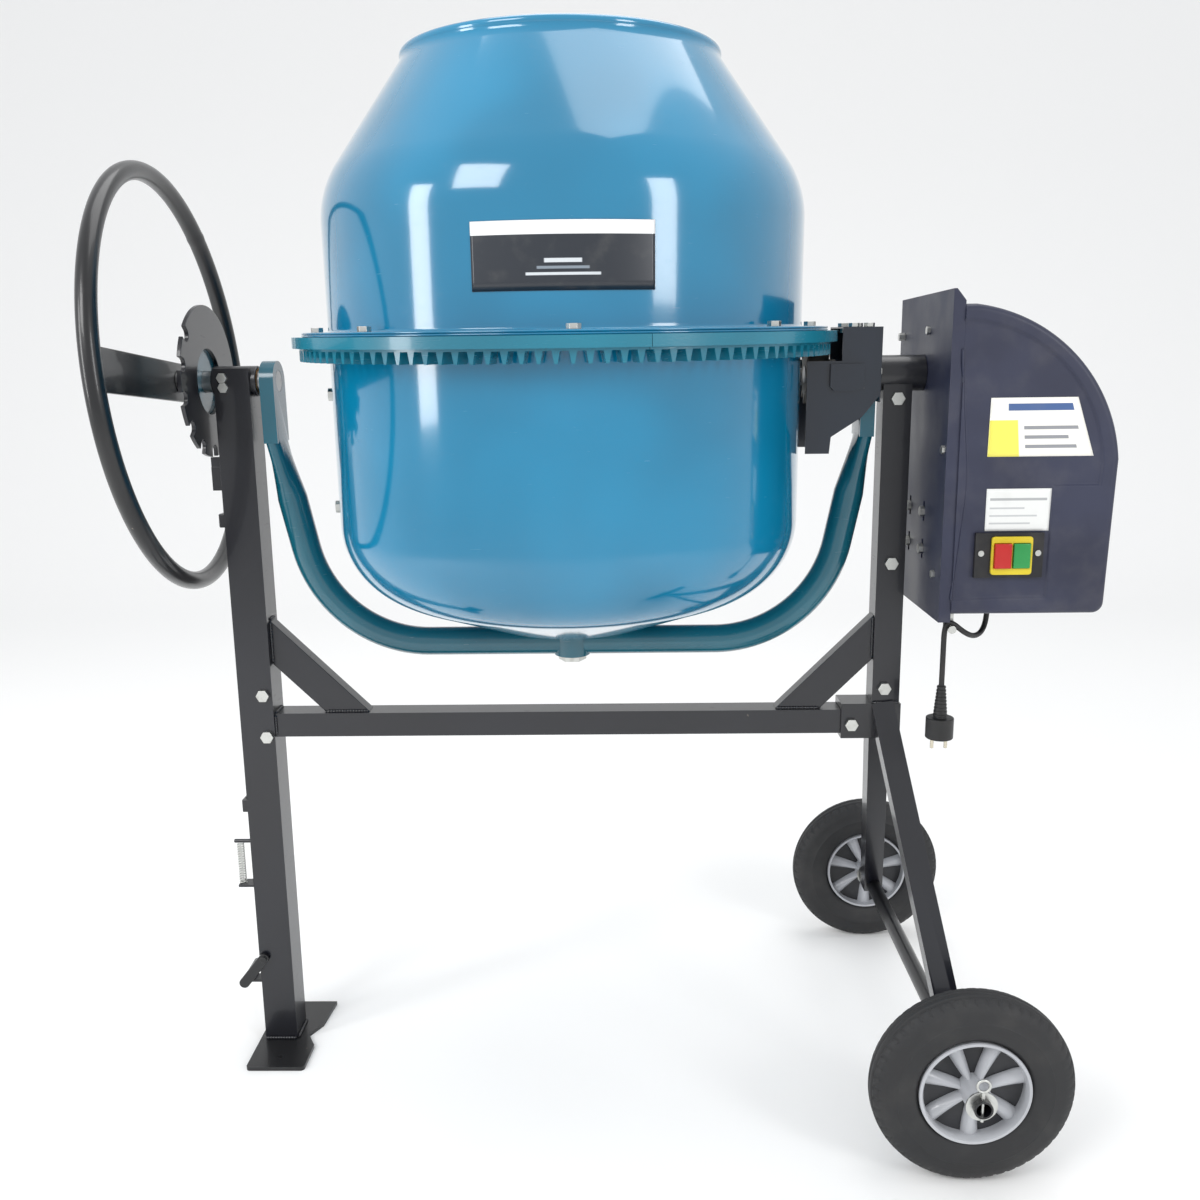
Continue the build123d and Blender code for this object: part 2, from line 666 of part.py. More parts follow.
def blade(angle):
    """Bent paddle: a tall plate on two feet that bolt to the bowl's straight side."""
    tip = inner_radius - blade_reach
    back = inner_radius - 4
    outline = [(back, seam_height - 250), (back, seam_height + 70),
               (tip + 30, seam_height + 20), (tip, seam_height - 130), (tip, seam_height - 290),
               (inner_radius - 60, seam_height - 325)]
    paddle = plate_xz(outline, -blade_thickness / 2, blade_thickness / 2)
    for height in blade_bolt_heights:
        foot = block(inner_radius - 12, inner_radius + 5, -blade_thickness / 2, blade_foot,
                     height - 15, height + 15)
        shell = rod_z(inner_radius, height - 20, height + 20)
        shell -= rod_z(inner_radius - blade_thickness, height - 21, height + 21)
        paddle += foot & shell
        paddle -= rod_x(blade_bolt_radius, inner_radius - 50, drum_radius + 50, blade_foot / 2 + 1, height)
    return paddle.rotate(Axis.Z, angle)


def blade_bolt(angle, height):
    """Bolt through the bowl's wall into a blade's foot, its head outside."""
    y = blade_foot / 2 + 1
    head = hexagon_x(15, drum_radius - 0.8, drum_radius + 5.5, y, height)
    head -= rod_z(drum_radius, height - 20, height + 20)
    shank = rod_x(blade_bolt_radius, inner_radius - 12, drum_radius + 1, y, height)
    nut = hexagon_x(15, inner_radius - 13, inner_radius - 5, y, height)
    return (head + shank + nut).rotate(Axis.Z, angle)


blades = [blade(angle) for angle in blade_angles]
drum_bolts = [blade_bolt(angle, height) for angle in blade_angles for height in blade_bolt_heights]
for angle in blade_angles:
    for height in blade_bolt_heights:
        hole = rod_x(blade_bolt_radius, inner_radius - 50, drum_radius + 50, blade_foot / 2 + 1, height)
        lower_drum -= hole.rotate(Axis.Z, angle)

# spindle under the bowl
flange_underside = floor_height - spindle_flange_thickness
housing_top = flange_underside - 1.0
housing_bottom = yoke_bottom_height - yoke_tube_radius
nut_top = housing_bottom - moving_gap
nut_bottom = nut_top - nut_thickness
spindle = rod_z(spindle_flange_radius, flange_underside, floor_height)
spindle += rod_z(spindle_radius, nut_bottom, flange_underside)
for x, y in spindle_bolt_places:
    drum_bolts.append(hexagon_z(15, floor_inside, floor_inside + 6, x, y)
                      + rod_z(5, flange_underside + 1, floor_inside, x, y))
    spindle -= rod_z(5, flange_underside + 1, floor_height + 1, x, y)
spindle_nut = hexagon_z(nut_flats, nut_bottom, nut_top) - rod_z(spindle_radius, nut_bottom - 1, nut_top + 1)


# ring gear
tooth_pitch = 360 / ring_teeth


def ring_segment():
    """One segment of the ring gear: a plate with a lip, and a row of teeth pointing down."""
    sweep = 360 / ring_segments - segment_gap_angle
    section = make_face(Polyline(
        (ring_bore_radius, ring_bottom), (tooth_inner_radius, ring_bottom),
        (tooth_inner_radius, tooth_root_height), (tooth_outer_radius, tooth_root_height),
        (tooth_outer_radius, ring_bottom), (ring_outer_radius, ring_bottom),
        (ring_outer_radius, ring_top), (ring_bore_radius, ring_top), close=True))
    plate = revolve(Plane.XZ * section, Axis.Z, sweep)
    spread = tan(radians(tooth_flank))
    half_tip = tooth_width / 2 - tooth_addendum * spread
    half_root = tooth_width / 2 + (tooth_root_height + 1 - pitch_height) * spread
    tooth_face = make_face(Polyline(
        (-half_root, tooth_root_height + 1), (-half_tip, tooth_tip_height),
        (half_tip, tooth_tip_height), (half_root, tooth_root_height + 1), close=True))
    tooth = Pos(tooth_inner_radius, 0, 0) * extrude(Plane.YZ * tooth_face,
                                                    tooth_outer_radius - tooth_inner_radius)
    teeth_each = ring_teeth // ring_segments
    first = (tooth_pitch - segment_gap_angle) / 2
    teeth = [tooth.rotate(Axis.Z, first + tooth_pitch * i) for i in range(teeth_each)]
    return plate + teeth


segment = ring_segment()
ring_solids = []
for index in range(ring_segments):
    ring_solids.append(segment.rotate(Axis.Z, segment_joint_angle + 360 / ring_segments * index))
ring_holes = [rod_z(5, ring_bottom + 4, ring_top + 1, flange_bolt_circle * cos(radians(a)),
                    flange_bolt_circle * sin(radians(a))) for a in flange_bolt_angles]
ring_solids = [solid - ring_holes for solid in ring_solids]

# plain label on the drum's front
label_low = seam_height + label_rise[0]
label_high = seam_height + label_rise[1]
label_face = make_face(Polyline(
    (drum_radius, label_low), (drum_radius + label_thickness, label_low),
    (drum_radius + label_thickness, label_high), (drum_radius, label_high), close=True))
drum_label = revolve(Plane.XZ * label_face, Axis.Z, label_span)
drum_label = drum_label.rotate(Axis.Z, label_from)

drum_nodes = {
    "drum_lower": [lower_drum], "drum_upper": [upper_drum], "ring_gear": ring_solids,
    "flange_bolts": flange_bolts, "mixing_blades": blades, "drum_bolts": drum_bolts,
    "drum_spindle": [spindle], "spindle_nut": [spindle_nut], "drum_label": [drum_label],
}
for node, solids in drum_nodes.items():
    add(node, *[turned(solid, drum_lean) for solid in solids])

# ---- yoke ---------------------------------------------------------------------------------------
arm_rise = yoke_flat_height - yoke_bottom_height
round_x = yoke_arm_x - yoke_arm_run * (yoke_flat_height - yoke_round_height) / arm_rise


def yoke_bend(radius):
    """Solid bar of the yoke's round part, in the plane y = 0."""
    corners = [(-round_x, 0, yoke_round_height), (-yoke_corner_x, 0, yoke_bottom_height),
               (yoke_corner_x, 0, yoke_bottom_height), (round_x, 0, yoke_round_height)]
    path = FilletPolyline(*corners, radius=yoke_bend_radius)
    return sweep((path ^ 0) * Circle(radius), path=path)


def pressed_end(side, shrink):
    """Loft from the round tube to the flattened end of one arm."""
    along = Vector(side * yoke_arm_run, 0, arm_rise).normalized()
    low = Plane(origin=(side * round_x, 0, yoke_round_height), x_dir=(0, 1, 0), z_dir=along)
    high = Plane(origin=(side * yoke_arm_x, 0, yoke_flat_height), x_dir=(0, 1, 0), z_dir=along)
    flat = SlotOverall(yoke_flat_width - 2 * shrink, yoke_flat_thickness - 2 * shrink)
    return loft([low * Circle(yoke_tube_radius - shrink), high * flat])


def flat_end(side):
    """Flattened end of one arm, rounded over the trunnion."""
    half = yoke_flat_thickness / 2
    width = yoke_flat_width / 2
    body = block(side * yoke_arm_x - half, side * yoke_arm_x + half, -width, width,
                 yoke_flat_height - 4, tilt_axis_height)
    return body + rod_x(width, side * yoke_arm_x - half, side * yoke_arm_x + half, 0, tilt_axis_height)


yoke = yoke_bend(yoke_tube_radius) - yoke_bend(yoke_tube_radius - yoke_wall)
for side in (-1, 1):
    yoke += pressed_end(side, 0) - pressed_end(side, yoke_wall)
    yoke += flat_end(side)
yoke -= rod_z(spindle_housing_radius, housing_bottom - 5, housing_top + 5)
yoke -= rod_x(left_trunnion_radius, -far, 0, 0, tilt_axis_height)
yoke -= rod_x(right_trunnion_radius, 0, far, 0, tilt_axis_height)

hub_plane = (lock_disc_faces[0] - hub_disc_thickness, lock_disc_faces[0])


def leaned(shape):
    """Set the handwheel's plane and its cross bar as they stand at rest."""
    centre = (handwheel_x, 0, tilt_axis_height)
    shape = shape.rotate(Axis(centre, (1, 0, 0)), handwheel_turn)
    shape = shape.rotate(Axis(centre, (0, 1, 0)), -handwheel_lean)
    return shape.rotate(Axis(centre, (0, 0, 1)), handwheel_toe)


wheel_ring = Pos(handwheel_x, 0, tilt_axis_height) * Rot(0, 90, 0) * Torus(handwheel_radius,
                                                                         handwheel_tube_radius)
wheel_bar = block(handwheel_x - bar_thickness / 2, handwheel_x + bar_thickness / 2, -handwheel_radius,
                  handwheel_radius, tilt_axis_height - bar_width / 2, tilt_axis_height + bar_width / 2)
handwheel = leaned(wheel_ring + wheel_bar)

left_trunnion = rod_x(left_trunnion_radius, handwheel_x, -yoke_arm_x + yoke_flat_thickness / 2, 0,
                      tilt_axis_height) - leaned(wheel_bar)
left_trunnion = left_trunnion.solids().sort_by(Axis.X)[-1]
right_trunnion = rod_x(right_trunnion_radius, yoke_arm_x - yoke_flat_thickness / 2, pan_x[0] - 2, 0,
                       tilt_axis_height)
right_trunnion -= rod_x(shaft_radius + running_gap, 0, far, 0, tilt_axis_height)

hub_disc = rod_x(hub_disc_radius, *hub_plane, 0, tilt_axis_height)
hub_disc -= rod_x(left_trunnion_radius, -far, 0, 0, tilt_axis_height)
lock_disc = rod_x(lock_disc_radius, *lock_disc_faces, 0, tilt_axis_height)
lock_disc -= rod_x(lock_disc_bore, -far, 0, 0, tilt_axis_height)
disc_foot = tilt_axis_height - lock_disc_radius
notch_bottom = disc_foot + notch_depth - notch_radius
for step in range(notch_steps[0], notch_steps[1] + 1):
    notch = rod_x(notch_radius, -far, 0, 0, notch_bottom)
    notch += block(-far, 0, -notch_radius, notch_radius, disc_foot - 20, notch_bottom)
    lock_disc -= turned(notch, step * notch_pitch)

spindle_housing = rod_z(spindle_housing_radius, housing_bottom, housing_top)
spindle_housing -= rod_z(spindle_bearing_radius, housing_bottom - 1, housing_top + 1)
bearing_spots = (housing_bottom, housing_top - bearing_height)
spindle_bearings = [rod_z(spindle_bearing_radius, z, z + bearing_height)
                    - rod_z(spindle_radius + running_gap, z - 1, z + bearing_height + 1)
                    for z in bearing_spots]

# gear guard: two cheeks and a side wall around the pinion, open towards the drum
guard_top = tilt_axis_height + guard_rise
guard_lip_x = ring_outer_radius + guard_gap
guard_left = drum_radius + guard_drum_gap
guard_under_ring = tooth_tip_height - guard_tooth_gap
guard_foot = tilt_axis_height - pinion_outer_radius - 66
guard_half = pinion_outer_radius + guard_pinion_gap + guard_sheet
cheek = [(guard_lip_x, guard_top), (guard_wall_x, guard_top), (guard_wall_x, guard_foot + 78),
         (guard_wall_x - 22, guard_foot + 50), (guard_left + 35, guard_foot + 23),
         (guard_left + 33, guard_foot), (guard_left, guard_foot), (guard_left, guard_under_ring),
         (guard_lip_x, guard_under_ring)]
guard = plate_xz(cheek, -guard_half, -guard_half + guard_sheet)
guard += plate_xz(cheek, guard_half - guard_sheet, guard_half)
guard += block(guard_wall_x, guard_wall_x + guard_sheet, -guard_half, guard_half, guard_foot + 70, guard_top)
guard += block(guard_lip_x, guard_wall_x + guard_sheet, -guard_half, guard_half,
               guard_top - guard_sheet, guard_top)
boss_left, boss_right = guard_left + 31, guard_wall_x - 22
boss_top, boss_low = guard_under_ring - 4, guard_foot + 92
guard += plate_xz([(boss_left, boss_top), (boss_right, boss_top), (boss_right, boss_low),
                   (boss_right - 11, boss_low - 6), (boss_left + 5, boss_low - 6), (boss_left, boss_low)],
                  -guard_half - 5, -guard_half)
guard -= rod_x(right_trunnion_radius, yoke_arm_x, far, 0, tilt_axis_height)
guard_bolts = []
for offset in guard_bolt_offsets:
    for y in (-guard_half + 10, guard_half - 10):
        x = guard_lip_x + offset
        guard -= rod_z(4, guard_top - 10, guard_top + 1, x, y)
        guard_bolts.append(hexagon_z(13, guard_top, guard_top + 5.3, x, y)
                           + rod_z(4, guard_top - 8, guard_top, x, y))
for y in (-guard_half + side_bolt_inset, guard_half - side_bolt_inset):
    z = tilt_axis_height + 4
    side_bolt = hexagon_x(10, guard_wall_x + guard_sheet, guard_wall_x + guard_sheet + 3, y, z)
    side_bolt += rod_x(3, guard_wall_x, guard_wall_x + guard_sheet, y, z)
    guard -= rod_x(3, guard_wall_x - 1, guard_wall_x + guard_sheet + 1, y, z)
    guard_bolts.append(side_bolt)

yoke_nodes = {
    "yoke_tube": [yoke], "trunnions": [left_trunnion, right_trunnion], "handwheel": [handwheel],
    "hub_disc": [hub_disc], "spindle_housing": [spindle_housing], "spindle_bearings": spindle_bearings,
    "gear_guard": [guard], "guard_bolts": guard_bolts,
}
set_at_rest = ("handwheel", "trunnions")
for node, solids in yoke_nodes.items():
    add(node, *[turned(solid, 0 if node in set_at_rest else drum_lean) for solid in solids])
add("lock_disc", lock_disc)


# ---- drive line ---------------------------------------------------------------------------------
def pinion_outline():
    """Gear outline with straight flanks: tooth width given on the pitch circle, thinner at the tip."""
    spread = tan(radians(tooth_flank))
    half_tip = tooth_width / 2 - tooth_addendum * spread
    half_root = tooth_width / 2 + (tooth_addendum + tooth_clearance) * spread
    points = []
    for index in range(pinion_teeth):
        turn = 2 * pi * (index + 0.5) / pinion_teeth
        for half, radius in ((-half_root, pinion_root_radius), (-half_tip, pinion_outer_radius),
                             (half_tip, pinion_outer_radius), (half_root, pinion_root_radius)):
            angle = turn + atan2(half, radius)
            reach = hypot(half, radius)
            points.append((reach * cos(angle), reach * sin(angle)))
    return make_face(Polyline(*points, close=True))


pinion = Pos(pinion_face[0], 0, tilt_axis_height) * extrude(Plane.YZ * pinion_outline(),
                                                            pinion_face[1] - pinion_face[0])
pinion += rod_x(pinion_hub[0], pinion_face[1], pinion_face[1] + pinion_hub[1], 0, tilt_axis_height)
pinion -= rod_x(shaft_radius, 0, far, 0, tilt_axis_height)
# the pinion has a gap at its top, which follows the ring's nearest tooth round
nearest_tooth = (segment_joint_angle + (tooth_pitch - segment_gap_angle) / 2) % tooth_pitch
mesh_turn = -nearest_tooth * ring_teeth / pinion_teeth
pinion = pinion.rotate(Axis((0, 0, tilt_axis_height), (1, 0, 0)), mesh_turn)

drive_shaft = rod_x(shaft_radius, pinion_face[0] - 1, belt_plane + belt_width / 2 + 8, 0, tilt_axis_height)


def grooved_pulley(radius, bore, height, hub_radius):
    """Flat belt pulley with two low cheeks, a web and a hub, in the belt's plane."""
    half = belt_width / 2
    pulley = rod_x(radius, belt_plane - half - 1, belt_plane + half + 1, 0, height)
    for edge in (belt_plane - half - 2.5, belt_plane + half + 1):
        pulley += rod_x(radius + 2.5, edge, edge + 1.5, 0, height)
    if radius > 2 * hub_radius:
        pocket = rod_x(radius - 5, belt_plane + 2, belt_plane + half + 5, 0, height)
        pocket += rod_x(radius - 5, belt_plane - half - 5, belt_plane - 2, 0, height)
        pocket -= rod_x(hub_radius, belt_plane - half - 6, belt_plane + half + 6, 0, height)
        pulley -= pocket
    return pulley - rod_x(bore, belt_plane - 50, belt_plane + 50, 0, height)


large_pulley = grooved_pulley(large_pulley_radius, shaft_radius, tilt_axis_height, 22)
add("pinion", turned(pinion, drum_lean))
add("drive_shaft", turned(drive_shaft, drum_lean))
add("large_pulley", turned(large_pulley, drum_lean))

motor_shaft = rod_x(motor_shaft_radius, belt_plane - 10, motor_ends[1] - 12, 0, motor_height)
motor_pulley = motor_shaft + grooved_pulley(small_pulley_radius, motor_shaft_radius, motor_height, 12)
add("motor_pulley", motor_pulley)


def belt_loop(grow):
    """Outline round both pulleys, grown by a distance: two arcs and two tangents."""
    big = large_pulley_radius + grow
    small = small_pulley_radius + grow
    span = tilt_axis_height - motor_height
    lean = atan2(big - small, (span ** 2 - (big - small) ** 2) ** 0.5)
    upper = (big * cos(lean), tilt_axis_height - big * sin(lean))
    lower = (small * cos(lean), motor_height - small * sin(lean))
    loop = Line((-lower[0], lower[1]), (-upper[0], upper[1]))
    loop += ThreePointArc((-upper[0], upper[1]), (0, tilt_axis_height + big), upper)
    loop += Line(upper, lower)
    loop += ThreePointArc(lower, (0, motor_height - small), (-lower[0], lower[1]))
    return make_face(loop)


belt_face = belt_loop(belt_gap + belt_thickness) - belt_loop(belt_gap)
belt = Pos(belt_plane, 0, 0) * extrude(Plane.YZ * belt_face, belt_width / 2, both=True)
add("drive_belt", belt)

# ---- motor and its housing ----------------------------------------------------------------------
standoffs = [(y, motor_height + rise) for rise in (21.0, -32.0) for y in (-37.0, 37.0)]
motor = rod_x(motor_radius, *motor_ends, 0, motor_height)
motor -= rod_x(motor_shaft_radius + running_gap, 0, motor_ends[1] - 8, 0, motor_height)
for index in range(18):
    fin = block(motor_ends[0] + 18, motor_ends[1] - 18, motor_radius - 2, motor_radius + 6, -1.5, 1.5)
    motor += Pos(0, 0, motor_height) * fin.rotate(Axis.X, 20 * index)
for y, z in standoffs:
    motor += rod_x(7, pan_x[0] + pan_wall, motor_ends[0] + 2, y, z)
add("motor_body", motor)

pan_outline = [(pan_x[0], pan_height[0]), (pan_x[0], pan_height[1]), (pan_x[0] + 4, pan_height[1]),
               (pan_x[1], cover_top + 4), (pan_x[1], pan_height[0])]
pan_hollow = [(pan_x[0] + pan_wall, pan_height[0] + pan_wall), (pan_x[0] + pan_wall, cover_top - 2),
              (pan_x[1] + 1, cover_top - 2), (pan_x[1] + 1, pan_height[0] + pan_wall)]
pan = plate_xz(pan_outline, housing_front, housing_half_width)
pan -= plate_xz(pan_hollow, housing_front + pan_wall, housing_half_width - pan_wall)
pan -= rod_x(shaft_radius + 4, pan_x[0] - 5, pan_x[0] + 10, 0, tilt_axis_height)


def cover_outline(inset):
    """Front view of the cover: upright side with a little draft, one large round corner, flat top."""
    left = pan_x[1]
    start = (cover_right_x - inset, cover_side_top)
    end = (cover_crown_x, cover_top - inset)
    middle = ((start[0] + end[0]) / 2, (start[1] + end[1]) / 2)
    chord = hypot(start[0] - end[0], start[1] - end[1])
    bulge = cover_corner_bulge
    crest = (middle[0] + bulge * (end[1] - start[1]) / chord, middle[1] + bulge * (start[0] - end[0]) / chord)
    low = cover_bottom + inset
    near = left - (1 if inset else 0)
    shape = Polyline((near, end[1]), (near, low), (cover_foot_x - inset, low), start)
    shape += ThreePointArc(start, crest, end)
    shape += Line(end, (near, end[1]))
    return make_face(shape)


def cover_block(inset):
    """Solid of the cover's outside, or of its hollow when drawn in by inset."""
    solid = extrude(Plane.XZ * cover_outline(inset), housing_half_width - inset, both=True)
    foot_edge = solid.edges().filter_by(Axis.Y).filter_by(
        lambda e: e.center().X > cover_foot_x - 20 and e.center().Z < cover_bottom + 20)
    solid = fillet(foot_edge, cover_foot_radius - inset)
    solid = fillet(solid.edges().filter_by(Axis.Y).filter_by(
        lambda e: e.center().X > cover_crown_x - 5 and e.center().Z > cover_side_top - 50),
        cover_crown_radius - inset)
    return solid


cover = cover_block(0)
rounded = cover.edges().filter_by(lambda e: abs(abs(e.center().Y) - housing_half_width) < 0.01
                                  and e.center().X > pan_x[1] + 1)
cover = fillet(rounded, cover_edge_radius) - cover_block(cover_wall)
window = (switch_body[0] / 2 + slip_gap, switch_body[1] / 2 + slip_gap)
cover -= block(switch_x - window[0], switch_x + window[0], housing_front - 5, housing_front + 10,
               switch_height - window[1], switch_height + window[1])
gland_x, gland_y = pan_x[1] + gland_place[0], gland_place[1]
cover -= rod_z(gland_radius, cover_bottom - 1, cover_bottom + cover_wall + 1, gland_x, gland_y)

stub_bolt = (housing_half_width - 22, tilt_axis_height + 52)
side_y, low_y = housing_half_width - 10, housing_half_width - 32
high, middle, low = tilt_axis_height + 57, tilt_axis_height - 99, tilt_axis_height - 269
pan_bolt_places = [(-25, high), (-side_y, middle), (side_y, middle), (-low_y, low), (low_y, low), stub_bolt]
housing_bolts = []
for y, z in pan_bolt_places:
    length = 9.0 if (y, z) == stub_bolt else 4.5
    housing_bolts.append(hexagon_x(10, pan_x[0] - length, pan_x[0], y, z)
                         + rod_x(3, pan_x[0], pan_x[0] + 8, y, z))
    pan -= rod_x(3, pan_x[0] - 1, pan_x[0] + 8, y, z)
for y, z in standoffs:
    pan -= block(pan_x[0] - 1, pan_x[0] + pan_wall + 1, y - 4, y + 4, z - 14, z + 14)
    housing_bolts.append(hexagon_x(13, pan_x[0] - 6, pan_x[0], y, z)
                         + rod_x(4, pan_x[0], pan_x[0] + pan_wall, y, z))
add("back_pan", pan)

# switch: plate and body through the cover, yellow frame, two buttons
plate_front = housing_front - switch_plate[2]
half_x, half_z = switch_plate[0] / 2, switch_plate[1] / 2
switch = block(switch_x - half_x, switch_x + half_x, plate_front, housing_front,
               switch_height - half_z, switch_height + half_z)
switch += block(switch_x - switch_body[0] / 2, switch_x + switch_body[0] / 2, housing_front,
                housing_front + switch_body[2], switch_height - switch_body[1] / 2,
                switch_height + switch_body[1] / 2)
frame_x = switch_x + switch_frame_offset
frame_front = plate_front - switch_frame_size[2]
frame = block(frame_x - switch_frame_size[0] / 2, frame_x + switch_frame_size[0] / 2, frame_front,
              plate_front, switch_height - switch_frame_size[1] / 2, switch_height + switch_frame_size[1] / 2)
frame = fillet(frame.edges().filter_by(Axis.Y), 4)
buttons = {}
for name, offset in (("stop_button", -button_pitch / 2), ("start_button", button_pitch / 2)):
    x = frame_x + offset
    half_w, half_h = button_size[0] / 2, button_size[1] / 2
    proud = button_proud if name == "stop_button" else button_proud - 1.5
    button = block(x - half_w, x + half_w, frame_front - proud, plate_front + button_depth,
                   switch_height - half_h, switch_height + half_h)
    button = fillet(button.edges().group_by(Axis.Y)[0], 1.5)
    well = block(x - half_w - button_gap, x + half_w + button_gap, frame_front - 1,
                 plate_front + button_depth + button_travel + 1, switch_height - half_h - button_gap,
                 switch_height + half_h + button_gap)
    switch -= well
    frame -= well
    buttons[name] = button
for side in (-1, 1):
    x, z = switch_x + side * switch_screw_offset[0], switch_height + switch_screw_offset[1]
    housing_bolts.append(rod_y(4, plate_front - 2, plate_front, x, z)
                         + rod_y(2, plate_front, housing_front + cover_wall, x, z))
    switch -= rod_y(2, plate_front - 1, housing_front + 1, x, z)
    cover -= rod_y(2, housing_front - 1, housing_front + cover_wall, x, z)
add("motor_cover", cover)
add("switch_base", switch)
add("switch_frame", frame)
for name, button in buttons.items():
    add(name, button)
add("housing_bolts", *housing_bolts)

caution_outline = [(38, 287), (37, 211), (175, 211), (172, 233), (150, 287)]
rating_outline = [(39, 169), (39, 113), (123, 113), (124, 169)]
films = [plate_xz(outline, housing_front - label_thickness, housing_front)
         for outline in (caution_outline, rating_outline)]
add("cover_labels", *[Pos(pan_x[1], 0, cover_bottom) * film for film in films])

# ---- latch and pedal ----------------------------------------------------------------------------
finger_top = tilt_axis_height - lock_disc_radius - moving_gap
tab_top = pedal_bar[1] - pedal_bar_radius - moving_gap
spring_x, spring_y = strap_x[0] - spring_offset[0], spring_offset[1]
strap = block(*strap_x, -strap_half_width, strap_half_width, tab_top - 4, finger_top - 8)
strap += block(lock_disc_faces[0], strap_x[1], -6, 6, finger_top - 48, finger_top - 14)
strap += block(lock_disc_faces[0], strap_x[1], -5, 5, finger_top - 14, finger_top)
strap += block(pedal_bar[0] - 8, strap_x[1], -strap_half_width, strap_half_width, tab_top - 4, tab_top)
strap += block(spring_x - 6, strap_x[1], spring_y - 6, 0, spring_foot_height - 4, spring_foot_height)
add("latch_strap", strap)
add("latch_spring", rod_z(spring_radius, spring_foot_height, spring_pin_height - 3, spring_x, spring_y)
    - rod_z(spring_radius - 2, spring_foot_height - 1, spring_pin_height, spring_x, spring_y))

guides = []
for height in guide_heights:
    guide = block(strap_x[0] - 5, left_post_face, -strap_half_width - 8, strap_half_width + 8,
                  height - 10, height + 10)
    guide -= block(strap_x[0] - moving_gap, left_post_face, -strap_half_width - moving_gap,
                   strap_half_width + moving_gap, height - 11, height + 11)
    guides.append(guide)
guides.append(rod_x(3, spring_x - 9, left_post_face, spring_y, spring_pin_height))
add("latch_guides", *guides)

arm_angle = degrees(atan2(pedal_pivot[1] - pedal_bar[1], pedal_pivot[0] - pedal_bar[0]))
arm_length = hypot(pedal_pivot[0] - pedal_bar[0], pedal_pivot[1] - pedal_bar[1])
cheek_front = -left_post_size / 2 - 1 - 6
arm = block(-arm_length, 0, cheek_front, cheek_front + 6, -8, 8)
arm += rod_y(8, cheek_front, cheek_front + 6) + rod_y(8, cheek_front, cheek_front + 6, -arm_length)
pedal = Pos(pedal_pivot[0], 0, pedal_pivot[1]) * arm.rotate(Axis.Y, -arm_angle)
pedal += rod_y(pedal_bar_radius, cheek_front, 36, *pedal_bar)
pedal += rod_y(5, cheek_front - 3, left_post_size / 2 + 3, *pedal_pivot)
add("pedal", pedal)

# ---- cord, hook, gland and plug -----------------------------------------------------------------
points = [Vector(*p) for p in cord_route]
cord_radii = []
for before, here, after in zip(points, points[1:], points[2:]):
    turn = (here - before).get_angle(after - here)
    run = min((here - before).length, (after - here).length)
    cord_radii.append(0.45 * run / tan(radians(turn) / 2))
cord_path = FilletPolyline(*cord_route, radius=cord_radii)
cord = sweep((cord_path ^ 0) * Circle(cord_radius), path=cord_path)
add("power_cord", cord)

nut_underside = cover_bottom - gland_nut[1]
gland = rod_z(gland_radius, cover_bottom, cover_bottom + cover_wall + 4, gland_x, gland_y)
gland += rod_z(gland_nut[0], nut_underside, cover_bottom, gland_x, gland_y)
gland += Pos(gland_x, gland_y, cover_bottom + cover_wall + 11) * Cone(gland_radius, 5.5, 14)
gland += Pos(gland_x, gland_y, nut_underside - gland_tail / 2) * Cone(5, 9, gland_tail)
add("cable_gland", gland)

hook_x, hook_y = pan_x[1] + hook_place[0], hook_place[1]
hook_z = cover_bottom - hook_drop
hook = rod_y(hook_radius, hook_y - 9, hook_y + 11, hook_x, hook_z)
hook += rod_y(hook_radius + 3, hook_y - 11, hook_y - 9, hook_x, hook_z)
hook += block(hook_x - 7, hook_x + 7, hook_y + 9, hook_y + 11, hook_z - 6, cover_bottom - 2)
hook += block(hook_x - 7, hook_x + 7, hook_y + 9, hook_y + 23, cover_bottom - 2, cover_bottom)
add("cord_hook", hook)

plug_x, plug_y, plug_top = cord_route[-1]
relief_end = plug_top - plug_relief_length
body_end = relief_end - plug_body_length
plug = Pos(plug_x, plug_y, (plug_top + relief_end) / 2) * Cone(9, 5, plug_relief_length)
plug += rod_z(plug_body_radius, body_end, relief_end, plug_x, plug_y)
plug = fillet(plug.edges().group_by(Axis.Z)[0], 2)
pins = []
for side in (-1, 1):
    x = plug_x + side * plug_pin_pitch / 2
    root = rod_z(plug_root_radius, body_end, body_end + plug_root_length, x, plug_y)
    plug -= root
    pins.append(root + rod_z(plug_pin_radius, body_end - plug_pin_length, body_end, x, plug_y))
add("plug_body", plug)
add("plug_pins", *pins)

# ---- write the parts ----------------------------------------------------------------------------
for node, solids in parts.items():
    moved = [Pos(-centre_x, 0, 0) * solid for solid in solids]
    shape = moved[0] if len(moved) == 1 else Compound(children=moved)
    shape.label = node
    export_step(shape, "parts/" + node + ".step")

section = pi * cord_radius ** 2
print("nodes", len(parts), "centre_x", round(centre_x, 3))
print("cord length", round(cord_path.length, 1), "volume ratio",
      round(cord.volume / (section * cord_path.length), 4))
print("cord radii", [round(r, 1) for r in cord_radii])
print("mesh turn", round(mesh_turn, 3), "floor", round(floor_height, 2), "mouth", round(mouth_radius, 2))
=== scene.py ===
"""Looks for a tilting drum concrete mixer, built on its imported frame.

Sizes in the classes are millimetres in the drum's own frame: x = 0 and y = 0 on the drum's axis, z = 0
on the ground. Meshes are in metres in the row's frame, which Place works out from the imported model.
"""
import json
import logging
import math
from dataclasses import dataclass, field
from enum import Enum

import bmesh
import bpy
import numpy as np
from mathutils import Matrix, Vector

